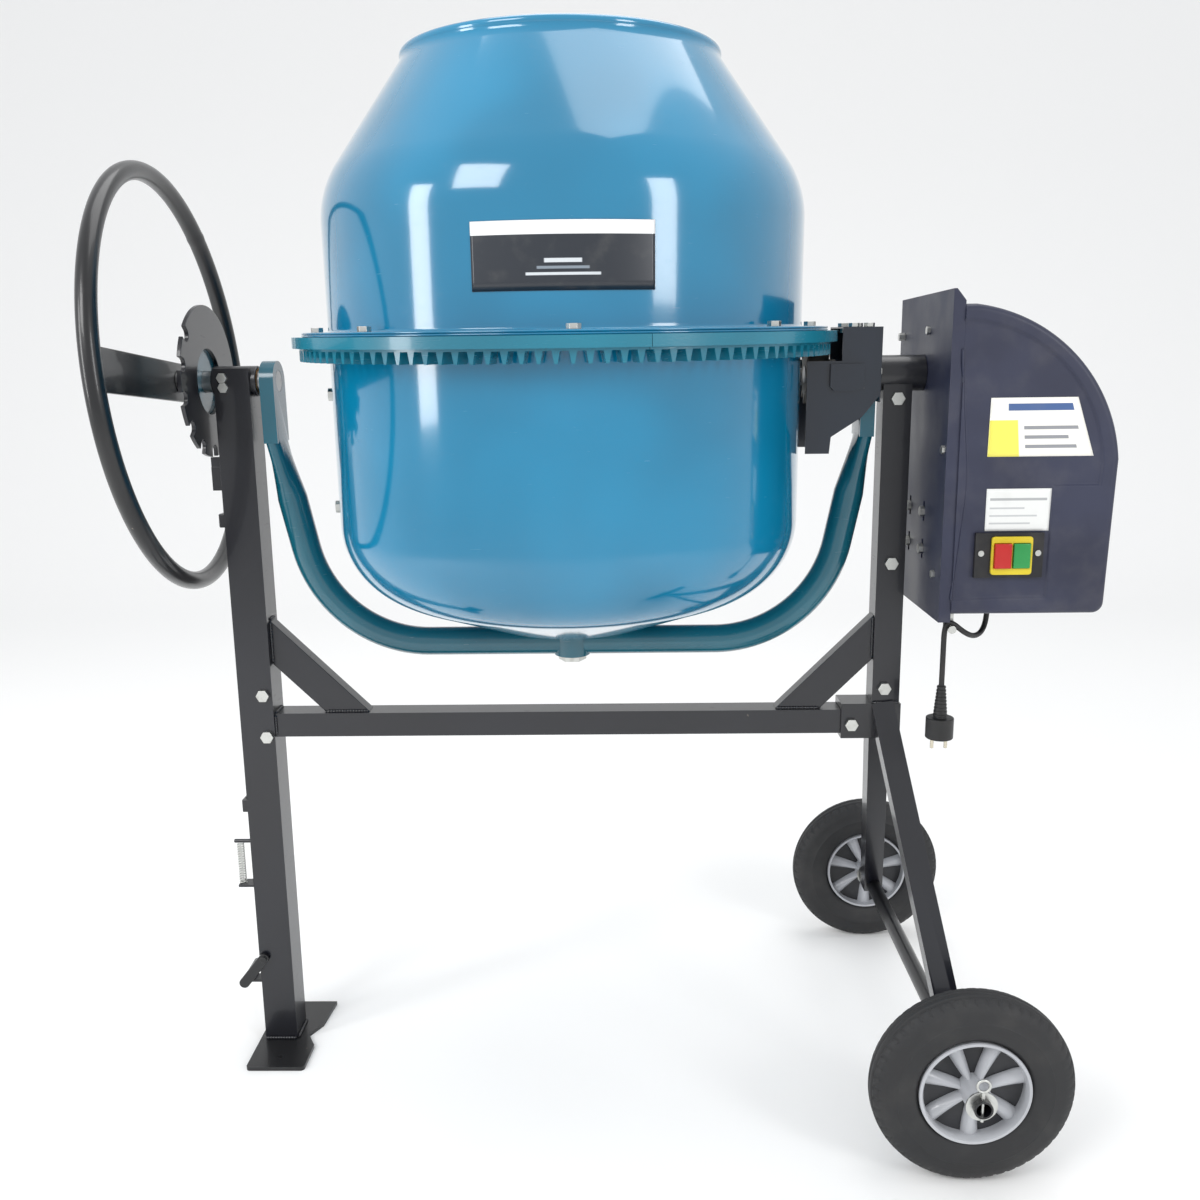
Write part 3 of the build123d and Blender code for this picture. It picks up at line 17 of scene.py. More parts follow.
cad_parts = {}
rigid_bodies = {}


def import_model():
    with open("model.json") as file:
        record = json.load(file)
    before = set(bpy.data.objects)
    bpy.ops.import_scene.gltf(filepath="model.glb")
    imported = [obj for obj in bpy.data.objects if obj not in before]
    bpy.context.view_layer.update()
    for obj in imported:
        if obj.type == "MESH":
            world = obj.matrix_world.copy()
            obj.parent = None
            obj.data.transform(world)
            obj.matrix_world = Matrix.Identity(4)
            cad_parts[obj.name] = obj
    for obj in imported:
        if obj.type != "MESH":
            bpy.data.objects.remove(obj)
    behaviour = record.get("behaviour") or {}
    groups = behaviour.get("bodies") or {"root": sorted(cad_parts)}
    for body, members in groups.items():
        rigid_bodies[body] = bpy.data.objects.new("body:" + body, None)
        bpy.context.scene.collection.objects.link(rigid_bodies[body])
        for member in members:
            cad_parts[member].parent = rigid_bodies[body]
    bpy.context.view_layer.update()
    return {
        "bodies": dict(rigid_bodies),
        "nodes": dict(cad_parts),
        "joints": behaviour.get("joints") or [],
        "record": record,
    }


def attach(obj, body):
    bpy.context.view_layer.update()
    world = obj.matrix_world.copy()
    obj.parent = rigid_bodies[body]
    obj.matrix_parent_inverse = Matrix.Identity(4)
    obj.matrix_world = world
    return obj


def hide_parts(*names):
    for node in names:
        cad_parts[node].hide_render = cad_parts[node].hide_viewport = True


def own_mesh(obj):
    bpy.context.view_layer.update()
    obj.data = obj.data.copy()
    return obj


LOG = logging.getLogger("mixer")
MM = 0.001
MERGE = 1e-5  # metres: points of a CAD mesh nearer than this are one
Array = np.ndarray
Tree = bpy.types.NodeTree
Socket = bpy.types.NodeSocket
Piece = bpy.types.Object
Point = tuple[float, float, float]


class Wear(Enum):
    """How far use has taken the paint off."""

    NEW = 0.0
    HANDLED = 0.5
    KNOCKED = 1.0


# ---- shader helpers -------------------------------------------------------------------------------
def linear(hex_colour: str) -> tuple[float, float, float, float]:
    """Turn an sRGB hex colour to linear light.

    Args:
        hex_colour: Six hex digits, with or without a leading hash.

    Returns:
        Red, green, blue and an alpha of one.
    """
    digits = hex_colour.lstrip("#")
    channels = [int(digits[i:i + 2], 16) / 255 for i in (0, 2, 4)]
    bright = [c / 12.92 if c <= 0.04045 else ((c + 0.055) / 1.055) ** 2.4 for c in channels]
    return (bright[0], bright[1], bright[2], 1.0)


def add(tree: Tree, kind: str, settings: dict | None = None,
        links: dict | None = None) -> bpy.types.Node:
    """Add one node.

    Args:
        tree: The node tree that takes it.
        kind: The node's type name.
        settings: Attributes by name, and socket values by socket name or number.
        links: Output sockets by the name or number of the input that they feed.

    Returns:
        The new node.
    """
    node = tree.nodes.new(kind)
    for key, value in (settings or {}).items():
        if isinstance(key, str) and hasattr(node, key):
            setattr(node, key, value)
        else:
            node.inputs[key].default_value = value
    for key, output in (links or {}).items():
        tree.links.new(output, node.inputs[key])
    return node


def noise(tree: Tree, where: Socket, size_mm: float, detail: float = 3.0) -> Socket:
    """Noise whose blotches are about size_mm across.

    Args:
        tree: The node tree.
        where: Coordinates in metres.
        size_mm: Size of one blotch.
        detail: Octaves of finer noise.

    Returns:
        The noise's value.
    """
    node = add(tree, "ShaderNodeTexNoise", {"Scale": 1000 / size_mm, "Detail": detail}, {"Vector": where})
    return node.outputs["Fac"]


def ramp(tree: Tree, value: Socket, low: float, high: float) -> Socket:
    """Smooth step of a value from low to high, as 0 to 1.

    Args:
        tree: The node tree.
        value: What is stepped.
        low: Where the step starts.
        high: Where it ends.

    Returns:
        The stepped value.
    """
    settings = {"interpolation_type": "SMOOTHSTEP", "From Min": low, "From Max": high}
    node = add(tree, "ShaderNodeMapRange", settings, {"Value": value})
    return node.outputs["Result"]


def mix(tree: Tree, amount: Socket, first: object, second: object) -> Socket:
    """Mix two colours.

    Args:
        tree: The node tree.
        amount: Share of the second colour.
        first: A colour or a socket.
        second: A colour or a socket.

    Returns:
        The mixed colour.
    """
    node = add(tree, "ShaderNodeMix", {"data_type": "RGBA"}, {0: amount})
    for number, colour in ((6, first), (7, second)):
        if isinstance(colour, tuple):
            node.inputs[number].default_value = colour
        else:
            tree.links.new(colour, node.inputs[number])
    return node.outputs[2]


def times(tree: Tree, value: Socket, factor: object) -> Socket:
    """Multiply a value by a number or another value.

    Args:
        tree: The node tree.
        value: The first value.
        factor: A number or a socket.

    Returns:
        The product.
    """
    node = add(tree, "ShaderNodeMath", {"operation": "MULTIPLY"}, {0: value})
    if isinstance(factor, (int, float)):
        node.inputs[1].default_value = factor
    else:
        tree.links.new(factor, node.inputs[1])
    return node.outputs[0]


# ---- finishes -------------------------------------------------------------------------------------
@dataclass(frozen=True)
class Enamel:
    """Stoved or sprayed enamel on steel: a glossy skin with a faint orange peel, and chips to the steel."""

    name: str
    colour: str
    shade: str
    roughness: float = 0.2
    coat: float = 0.5
    peel_mm: float = 2.2
    peel: float = 0.04
    wear: Wear = Wear.NEW

    def build(self) -> bpy.types.Material:
        """Make the material.

        Returns:
            The new material.
        """
        material = bpy.data.materials.new(self.name)
        material.use_nodes = True
        tree = material.node_tree
        tree.nodes.clear()
        where = add(tree, "ShaderNodeTexCoord").outputs["Object"]
        tone = ramp(tree, noise(tree, where, 260, 2), 0.35, 0.7)
        paint = mix(tree, tone, linear(self.shade), linear(self.colour))
        # hair-fine scuffs that dull the gloss where something has rubbed past
        stretch = add(tree, "ShaderNodeMapping", {"Scale": (1.0, 1.0, 9.0)}, {"Vector": where})
        scuff = ramp(tree, noise(tree, stretch.outputs[0], 26, 6), 0.62, 0.8)
        rough = add(tree, "ShaderNodeMapRange", {"To Min": self.roughness, "To Max": self.roughness + 0.2},
                    {"Value": scuff}).outputs["Result"]
        threshold = 0.80 - 0.09 * self.wear.value
        chips = ramp(tree, noise(tree, where, 11, 5), threshold, threshold + 0.012)
        if self.wear is not Wear.NEW:
            patch = ramp(tree, noise(tree, where, 140, 1), 0.5, 0.62)
            chips = times(tree, chips, patch)
        bare = mix(tree, noise(tree, where, 3, 2), linear("#8a857d"), linear("#5d5149"))
        colour = mix(tree, chips, paint, bare)
        peel = noise(tree, where, self.peel_mm, 1)
        bump = add(tree, "ShaderNodeBump", {"Strength": self.peel, "Distance": 0.0006}, {"Height": peel})
        shader = add(tree, "ShaderNodeBsdfPrincipled",
                     {"Coat Weight": self.coat, "Coat Roughness": 0.06, "IOR": 1.5},
                     {"Base Color": colour, "Roughness": rough, "Normal": bump.outputs[0],
                      "Metallic": times(tree, chips, 0.9)})
        add(tree, "ShaderNodeOutputMaterial", None, {"Surface": shader.outputs[0]})
        return material


@dataclass(frozen=True)
class Metal:
    """Bare or plated metal: a grain of fine marks from how it was made, with grime in blotches."""

    name: str
    colour: str
    grime: str = "#3a332c"
    roughness: float = 0.3
    grain_mm: Point = (1.5, 1.5, 1.5)
    grain: float = 0.15
    dirt: float = 0.3

    def build(self) -> bpy.types.Material:
        """Make the material.

        Returns:
            The new material.
        """
        material = bpy.data.materials.new(self.name)
        material.use_nodes = True
        tree = material.node_tree
        tree.nodes.clear()
        where = add(tree, "ShaderNodeTexCoord").outputs["Object"]
        scale = tuple(1.0 / g for g in self.grain_mm)
        marks = add(tree, "ShaderNodeMapping", {"Scale": scale}, {"Vector": where})
        grain = noise(tree, marks.outputs[0], 1.0, 3)
        dirt = times(tree, ramp(tree, noise(tree, where, 14, 5), 0.5, 0.75), self.dirt)
        colour = mix(tree, dirt, linear(self.colour), linear(self.grime))
        rough = add(tree, "ShaderNodeMapRange",
                    {"To Min": self.roughness - 0.08, "To Max": self.roughness + 0.16},
                    {"Value": grain}).outputs["Result"]
        bump = add(tree, "ShaderNodeBump", {"Strength": self.grain, "Distance": 0.0003}, {"Height": grain})
        shader = add(tree, "ShaderNodeBsdfPrincipled", {"Metallic": 1.0},
                     {"Base Color": colour, "Roughness": rough, "Normal": bump.outputs[0]})
        add(tree, "ShaderNodeOutputMaterial", None, {"Surface": shader.outputs[0]})
        return material


@dataclass(frozen=True)
class Moulding:
    """Moulded plastic or rubber: a fine spark-eroded grain, a little tone, and dust lying in it."""

    name: str
    colour: str
    shade: str
    roughness: float = 0.5
    grain_mm: float = 1.2
    grain: float = 0.2
    dust: float = 0.12
    dust_colour: str = "#a59f93"
    ior: float = 1.46

    def build(self) -> bpy.types.Material:
        """Make the material.

        Returns:
            The new material.
        """
        material = bpy.data.materials.new(self.name)
        material.use_nodes = True
        tree = material.node_tree
        tree.nodes.clear()
        where = add(tree, "ShaderNodeTexCoord").outputs["Object"]
        tone = ramp(tree, noise(tree, where, 120, 3), 0.3, 0.7)
        body = mix(tree, tone, linear(self.shade), linear(self.colour))
        dust = times(tree, ramp(tree, noise(tree, where, 40, 6), 0.45, 0.8), self.dust)
        colour = mix(tree, dust, body, linear(self.dust_colour))
        grain = noise(tree, where, self.grain_mm, 2)
        rough = add(tree, "ShaderNodeMapRange",
                    {"To Min": self.roughness - 0.06, "To Max": self.roughness + 0.1},
                    {"Value": tone}).outputs["Result"]
        bump = add(tree, "ShaderNodeBump", {"Strength": self.grain, "Distance": 0.0004}, {"Height": grain})
        shader = add(tree, "ShaderNodeBsdfPrincipled", {"IOR": self.ior},
                     {"Base Color": colour, "Roughness": rough, "Normal": bump.outputs[0]})
        add(tree, "ShaderNodeOutputMaterial", None, {"Surface": shader.outputs[0]})
        return material


@dataclass(frozen=True)
class Band:
    """One flat field of ink on a printed film: lowest and highest share of its width and height."""

    left: float
    right: float
    low: float
    high: float
    colour: str


@dataclass(frozen=True)
class PrintedFilm:
    """Printed vinyl film: a glossy ground with plain fields of ink and no lettering.

    The fields follow the film's own UV map. An edge of ink blurs over twice blur, as a share of the film.
    """

    name: str
    ground: str
    bands: tuple[Band, ...] = ()
    roughness: float = 0.32
    blur: float = 0.004

    def build(self) -> bpy.types.Material:
        """Make the material. A field is the product of four steps, one at each of its edges.

        Returns:
            The new material.
        """
        material = bpy.data.materials.new(self.name)
        material.use_nodes = True
        tree = material.node_tree
        tree.nodes.clear()
        chart = add(tree, "ShaderNodeUVMap", {"uv_map": "film"}).outputs[0]
        across = add(tree, "ShaderNodeSeparateXYZ", None, {0: chart})
        colour: object = linear(self.ground)
        for band in self.bands:
            inside = None
            for socket, low, high in ((0, band.left, band.right), (1, band.low, band.high)):
                for edge, sign in ((low, 1), (high, -1)):
                    soft = self.blur * sign
                    step = ramp(tree, across.outputs[socket], edge - soft, edge + soft)
                    inside = step if inside is None else times(tree, inside, step)
            colour = mix(tree, inside, colour, linear(band.colour))
        where = add(tree, "ShaderNodeTexCoord").outputs["Object"]
        smear = times(tree, ramp(tree, noise(tree, where, 30, 5), 0.5, 0.8), 0.12)
        colour = mix(tree, smear, colour, linear("#8b8880"))
        shader = add(tree, "ShaderNodeBsdfPrincipled", {"Roughness": self.roughness, "Coat Weight": 0.3},
                     {"Base Color": colour})
        add(tree, "ShaderNodeOutputMaterial", None, {"Surface": shader.outputs[0]})
        return material


class Palette:
    """Every finish on the machine, each made once."""

    def __init__(self) -> None:
        """Make the materials, named for what the real ones are; the wheel dish's dull grey is painted shade.
        """
        finishes = {
            # stoved gloss enamel on pressed sheet: deep, clean reflections
            "drum": Enamel("stoved_blue_enamel", "#067ca4", "#046c90", 0.13, 0.8, 2.6, 0.035),
            "ring": Enamel("sprayed_teal_enamel_on_casting", "#13788f", "#0f667b", 0.26, 0.4, 3.0, 0.12,
                           Wear.HANDLED),
            "yoke": Enamel("sprayed_teal_enamel", "#105f71", "#0c4f5f", 0.2, 0.5, 2.4, 0.06),
            "frame": Enamel("sprayed_black_enamel", "#11131b", "#0c0d14", 0.3, 0.35, 2.0, 0.08, Wear.HANDLED),
            "knocked": Enamel("knocked_black_enamel", "#0d0e12", "#08090c", 0.3, 0.25, 2.0, 0.08,
                              Wear.KNOCKED),
            "guard": Enamel("sprayed_dark_teal_enamel", "#14202e", "#101824", 0.3, 0.35, 2.4, 0.08,
                            Wear.HANDLED),
            "silver": Enamel("silver_lacquer_on_rim", "#b4b6ba", "#9fa1a6", 0.32, 0.3, 1.6, 0.06),
            # painted shade: the dish inside the rim is coloured dark grey to stand for the shade that falls
            # there
            "rim_shadow": Enamel("dull_grey_lacquer_on_dish", "#2a2b2f", "#1f2023", 0.5, 0.1, 1.6, 0.06),
            "zinc": Metal("bright_zinc_plate", "#c9cac6", "#77736a", 0.28, (2.0, 2.0, 2.0), 0.12, 0.35),
            "steel": Metal("turned_steel", "#a4a5a6", "#4a443c", 0.3, (6.0, 0.8, 0.8), 0.2, 0.35),
            "cast": Metal("machined_cast_iron", "#6d6b68", "#2a2623", 0.45, (2.5, 2.5, 2.5), 0.4, 0.5),
            "alloy": Metal("die_cast_aluminium", "#a8abad", "#5c5850", 0.45, (3.0, 3.0, 3.0), 0.3, 0.3),
            "nickel": Metal("nickel_plated_brass", "#cbc4b2", "#6f6655", 0.22, (0.8, 0.8, 4.0), 0.1, 0.2),
            "bronze": Metal("sintered_bronze", "#a37a45", "#4f3a20", 0.45, (1.2, 1.2, 1.2), 0.3, 0.3),
            "cover": Moulding("grained_abs", "#2c3045", "#24273a", 0.42, 1.1, 0.22, 0.05),
            "black_plastic": Moulding("moulded_black_abs", "#1a1a1e", "#131316", 0.4, 0.9, 0.15, 0.06),
            "yellow": Moulding("moulded_yellow_abs", "#d9c52c", "#c4ae20", 0.33, 0.9, 0.08, 0.04),
            "red": Moulding("moulded_red_polycarbonate", "#c22a26", "#a91f1d", 0.25, 0.9, 0.05, 0.03),
            "green": Moulding("moulded_green_polycarbonate", "#2f9a50", "#237f40", 0.25, 0.9, 0.05, 0.03),
            "tyre": Moulding("cured_tyre_rubber", "#1e1f21", "#18181a", 0.6, 1.6, 0.3, 0.07, "#6d6a64", 1.52),
            "rubber": Moulding("extruded_black_rubber", "#161617", "#101011", 0.5, 0.8, 0.15, 0.06,
                               "#77736b", 1.52),
        }
        self.made = {key: finish.build() for key, finish in finishes.items()}
        self.made["drum_film"] = PrintedFilm("printed_drum_film", "#1d232c", (
            Band(0.0, 1.0, 0.80, 1.0, "#e4e6e6"), Band(0.30, 0.70, 0.22, 0.26, "#c9ced2"),
            Band(0.40, 0.60, 0.40, 0.46, "#c9ced2"), Band(0.36, 0.64, 0.31, 0.35, "#7d8791"))).build()
        self.made["caution_film"] = PrintedFilm("printed_caution_film", "#eceae2", (
            Band(0.0, 0.30, 0.0, 0.62, "#e6dd5a"), Band(0.20, 0.92, 0.78, 0.90, "#3c5a8c"),
            Band(0.36, 0.92, 0.46, 0.52, "#8a8c90"), Band(0.36, 0.80, 0.30, 0.36, "#8a8c90"),
            Band(0.36, 0.86, 0.14, 0.20, "#8a8c90"))).build()
        self.made["rating_film"] = PrintedFilm("printed_rating_film", "#dadbd9", (
            Band(0.06, 0.94, 0.72, 0.78, "#a3a5a6"), Band(0.06, 0.60, 0.52, 0.56, "#b4b6b7"),
            Band(0.06, 0.80, 0.34, 0.38, "#b4b6b7"), Band(0.06, 0.70, 0.16, 0.20, "#b4b6b7"))).build()

    def __getitem__(self, key: str) -> bpy.types.Material:
        """The material of that key."""
        return self.made[key]


# ---- mesh helpers ---------------------------------------------------------------------------------
def sheet_mesh(name: str, points: Array, wrap_u: bool, wrap_v: bool, uv: bool = False) -> Piece:
    """Skin a grid of points.

    A point P(i, j) is joined to its neighbours i + 1 and j + 1; a wrapped direction joins its last row to
    its first.

    Args:
        name: The piece's name.
        points: Metres, of shape (rows, columns, 3).
        wrap_u: Whether the rows close.
        wrap_v: Whether the columns close.
        uv: Whether a chart named film runs from 0 to 1 along both directions.

    Returns:
        The new object, at the origin.
    """
    rows, columns = points.shape[:2]
    last_i = rows if wrap_u else rows - 1
    last_j = columns if wrap_v else columns - 1
    i, j = np.meshgrid(np.arange(last_i), np.arange(last_j), indexing="ij")
    i2, j2 = (i + 1) % rows, (j + 1) % columns
    corners = [i * columns + j, i2 * columns + j, i2 * columns + j2, i * columns + j2]
    quads = np.stack(corners, -1).reshape(-1, 4)
    mesh = bpy.data.meshes.new(name)
    mesh.vertices.add(rows * columns)
    mesh.vertices.foreach_set("co", points.reshape(-1).astype(np.float32))
    mesh.loops.add(quads.size)
    mesh.loops.foreach_set("vertex_index", quads.reshape(-1).astype(np.int32))
    mesh.polygons.add(len(quads))
    mesh.polygons.foreach_set("loop_start", np.arange(0, quads.size, 4, dtype=np.int32))
    mesh.update(calc_edges=True)
    if uv:
        chart = mesh.uv_layers.new(name="film")
        corner = quads.reshape(-1)
        flat = np.stack([(corner % columns) / (columns - 1), (corner // columns) / (rows - 1)], -1)
        chart.data.foreach_set("uv", flat.reshape(-1).astype(np.float32))
    piece = bpy.data.objects.new(name, mesh)
    bpy.context.scene.collection.objects.link(piece)
    return piece


def outward(piece: Piece, merge_mm: float = 0.001, crease: float = 35.0) -> Piece:
    """Merge doubles, point the faces outwards and shade smooth up to a crease angle.

    Args:
        piece: A mesh object.
        merge_mm: Points nearer than this are one.
        crease: Degrees past which an edge stays sharp.

    Returns:
        The same object.
    """
    work = bmesh.new()
    work.from_mesh(piece.data)
    bmesh.ops.remove_doubles(work, verts=work.verts, dist=merge_mm * MM)
    bmesh.ops.dissolve_degenerate(work, edges=work.edges, dist=merge_mm * MM)
    bmesh.ops.recalc_face_normals(work, faces=work.faces)
    work.to_mesh(piece.data)
    work.free()
    piece.data.shade_smooth()
    piece.data.set_sharp_from_angle(angle=math.radians(crease))
    return piece


def smooth_step(value: Array, low: float, high: float) -> Array:
    """Smooth step: s squared times (3 - 2 s), s being the share of the way from low to high.

    Args:
        value: What is stepped.
        low: Where the step starts.
        high: Where it ends.

    Returns:
        Values from 0 to 1.
    """
    share = np.clip((value - low) / (high - low), 0, 1)
    return share * share * (3 - 2 * share)


def arc(centre: tuple[float, float], radius: float, start: float, end: float, count: int) -> Array:
    """Points on a circle: centre plus radius times (cos a, sin a), a even from start to end in degrees.

    Args:
        centre: The circle's centre.
        radius: Its radius.
        start: First angle.
        end: Last angle.
        count: How many points.

    Returns:
        Points of shape (count, 2).
    """
    angle = np.radians(np.linspace(start, end, count))
    return np.stack([centre[0] + radius * np.cos(angle), centre[1] + radius * np.sin(angle)], -1)


def tube_points(path: Array, radius: Array, sides: int) -> Array:
    """Rings round a path: P + r (N cos a + B sin a), with N and B square to the path's tangent.

    Args:
        path: Centre points in millimetres, of shape (count, 3).
        radius: One radius for each point, or one for all.
        sides: Points in each ring.

    Returns:
        Grid of shape (count, sides, 3), in millimetres.
    """
    tangent = np.gradient(path, axis=0)
    tangent /= np.linalg.norm(tangent, axis=1, keepdims=True)
    spread = np.ptp(path, axis=0)
    reference = np.eye(3)[int(np.argmin(spread))]
    normal = np.cross(tangent, reference)
    normal /= np.linalg.norm(normal, axis=1, keepdims=True)
    other = np.cross(tangent, normal)
    angle = np.linspace(0, 2 * np.pi, sides, endpoint=False)
    radius = np.broadcast_to(np.asarray(radius, float), (len(path),))
    ring = normal[:, None] * np.cos(angle)[None, :, None] + other[:, None] * np.sin(angle)[None, :, None]
    return path[:, None] + ring * radius[:, None, None]


@dataclass
class Place:
    """Turns drum-frame millimetres to row-frame metres, with the leans of the moving groups."""

    shift: float
    axis: Vector
    pivot: Vector

    @classmethod
    def from_frame(cls, frame: dict) -> "Place":
        """Read the drum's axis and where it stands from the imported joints.


        Returns:
            The place.
        """
        spin = next(j for j in frame["joints"] if j["name"] == "drum_spin")
        return cls(spin["pos_m"][0], Vector(spin["axis"]).normalized(), Vector(spin["pos_m"]))

    def straight(self, points: Array) -> Array:
        """Points that stand upright."""
        moved = np.asarray(points, float) * MM
        return moved + np.array([self.shift, 0.0, 0.0])

    def leaned(self, points: Array) -> Array:
        """Points of the yoke and drum: turned about the trunnions until +Z lies on the drum's axis."""
        turn = np.array(Vector((0, 0, 1)).rotation_difference(self.axis).to_matrix())
        pivot = np.array(self.pivot)
        return (self.straight(points) - pivot) @ turn.T + pivot


class Machine:
    """What every sub-assembly needs: the frame, the finishes and the place."""

    def __init__(self, frame: dict, palette: Palette, place: Place) -> None:
        """Keep the shared things and look up which body holds each node."""
        self.frame = frame
        self.palette = palette
        self.place = place
        bodies = frame["record"]["behaviour"]["bodies"]
        self.body_of = {node: body for body, nodes in bodies.items() for node in nodes}
        self.slot_of = {s["node"]: s["material_slot"] for s in frame["record"]["subparts"]}
        self.dressed: set[str] = set()

    def dress(self, piece: Piece, node: str, finish: str, stands_for: bool = True) -> Piece:
        """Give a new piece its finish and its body.

        Args:
            piece: The piece.
            node: The CAD node that it belongs to.
            finish: The finish's key.
            stands_for: Whether it takes the node's place.

        Returns:
            The same piece.
        """
        piece.data.materials.clear()
        piece.data.materials.append(self.palette[finish])
        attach(piece, self.body_of[node])
        if stands_for:
            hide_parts(node)
            self.dressed.add(node)
        LOG.info("%s rides on %s", piece.name, self.body_of[node])
        return piece

    def soften(self, node: str, finish: str, edge_mm: float = 0.8, crease: float = 32.0) -> Piece:
        """Stand a copy of a CAD node in its place, with its edges broken as a real piece's are.

        Args:
            node: The CAD node.
            finish: The finish's key.
            edge_mm: Width of the broken edge.
            crease: Degrees past which an edge is broken.

        Returns:
            The new piece.
        """
        mesh = self.frame["nodes"][node].data.copy()
        mesh.materials.clear()
        piece = bpy.data.objects.new(node + "_finished", mesh)
        bpy.context.scene.collection.objects.link(piece)
        work = bmesh.new()
        work.from_mesh(mesh)
        bmesh.ops.remove_doubles(work, verts=work.verts, dist=MERGE)
        bmesh.ops.dissolve_limit(work, angle_limit=math.radians(0.6), verts=work.verts, edges=work.edges)
        bmesh.ops.recalc_face_normals(work, faces=work.faces)
        work.to_mesh(mesh)
        work.free()
        for name in [a.name for a in mesh.attributes if a.name == "custom_normal"]:
            mesh.attributes.remove(mesh.attributes[name])
        mesh.shade_smooth()
        mesh.set_sharp_from_angle(angle=math.radians(crease))
        bevel = piece.modifiers.new("broken_edge", "BEVEL")
        bevel.width = edge_mm * MM
        bevel.segments = 2
        bevel.limit_method = "ANGLE"
        bevel.angle_limit = math.radians(crease)
        bevel.use_clamp_overlap = True
        bevel.harden_normals = True
        return self.dress(piece, node, finish)

    def bead(self, name: str, node: str, path: Array, finish: str, radius: float = 2.4) -> Piece:
        """Lay a weld bead: a tube whose radius swells and sinks once for each drop of weld.

        Args:
            name: The bead's name.
            node: The CAD node that it belongs to.
            path: Its line in drum-frame millimetres.
            finish: The finish's key.
            radius: Mean radius.

        Returns:
            The new piece.
        """
        length = np.concatenate([[0], np.cumsum(np.linalg.norm(np.diff(path, axis=0), axis=1))])
        at = np.arange(0, length[-1], 0.9)
        line = np.stack([np.interp(at, length, path[:, k]) for k in range(3)], -1)
        ends = np.clip(np.minimum(at, length[-1] - at) / 3.0, 0.05, 1.0)
        swell = radius * (1 + 0.16 * np.sin(2 * np.pi * at / 4.2)) * ends
        piece = sheet_mesh(name, self.place.straight(tube_points(line, swell, 10)), False, True)
        close_ends(piece)
        return self.dress(outward(piece), node, finish, stands_for=False)


def close_ends(piece: Piece) -> None:
    """Fill a piece's open rings with faces."""
    work = bmesh.new()
    work.from_mesh(piece.data)
    bmesh.ops.holes_fill(work, edges=[e for e in work.edges if e.is_boundary])
    work.to_mesh(piece.data)
    work.free()


# ---- sub-assemblies -------------------------------------------------------------------------------
@dataclass
class Cord:
    """The mains lead: out of the gland, over its hook and down to the plug."""

    machine: Machine
    diameter: float = 7.5
    length: float = 214.1
    route: tuple[Point, ...] = (
        (590.0, -60.0, 704.0), (590.0, -60.0, 684.0), (580.0, -72.0, 668.0), (562.0, -95.0, 668.0),
        (543.6, -112.0, 677.7), (525.2, -112.0, 693.1), (516.25, -112.0, 688.94), (516.25, -112.0, 645.0),
        (516.25, -112.0, 602.0))

    def build(self) -> None:
        """Make the lead as a smooth spline through its route, and the pieces on it."""
        machine = self.machine
        curve = bpy.data.curves.new("mains_lead", "CURVE")
        curve.dimensions = "3D"
        spline = curve.splines.new("NURBS")
        spline.points.add(len(self.route) - 1)
        points = machine.place.straight(np.array(self.route))
        for point, place in zip(spline.points, points):
            point.co = (*place, 1.0)
        spline.order_u = 3
        spline.use_endpoint_u = True
        spline.resolution_u = 16
        curve.bevel_depth = self.diameter / 2 * MM
        curve.bevel_resolution = 6
        curve.use_fill_caps = True
        lead = bpy.data.objects.new("mains_lead", curve)
        bpy.context.scene.collection.objects.link(lead)
        machine.dress(lead, "power_cord", "rubber")
        plug = machine.soften("plug_body", "rubber", 1.2)
        pins = machine.soften("plug_pins", "nickel", 0.5)
        rings = self.relief_rings()
        machine.soften("cable_gland", "black_plastic", 0.6)
        machine.soften("cord_hook", "zinc", 0.5)

    def relief_rings(self) -> Piece:
        """Ribs on the plug's strain relief: a cone whose radius steps out once every 5 mm.

        Returns:
            The new piece.
        """
        x, y, top = self.route[-1]
        along = np.linspace(0, 44, 177)
        radius = 5.1 + 4.0 * along / 45 + 0.9 * (np.mod(along, 5) < 2.6)
        path = np.stack([np.full_like(along, x), np.full_like(along, y), top - along], -1)
        angle = np.linspace(0, 2 * np.pi, 32, endpoint=False)
        ring = np.stack([np.cos(angle), np.sin(angle), np.zeros_like(angle)], -1)
        grid = path[:, None] + radius[:, None, None] * ring[None]
        piece = sheet_mesh("plug_relief_ribs", self.machine.place.straight(grid), False, True)
        close_ends(piece)
        return self.machine.dress(outward(piece), "plug_body", "rubber", stands_for=False)


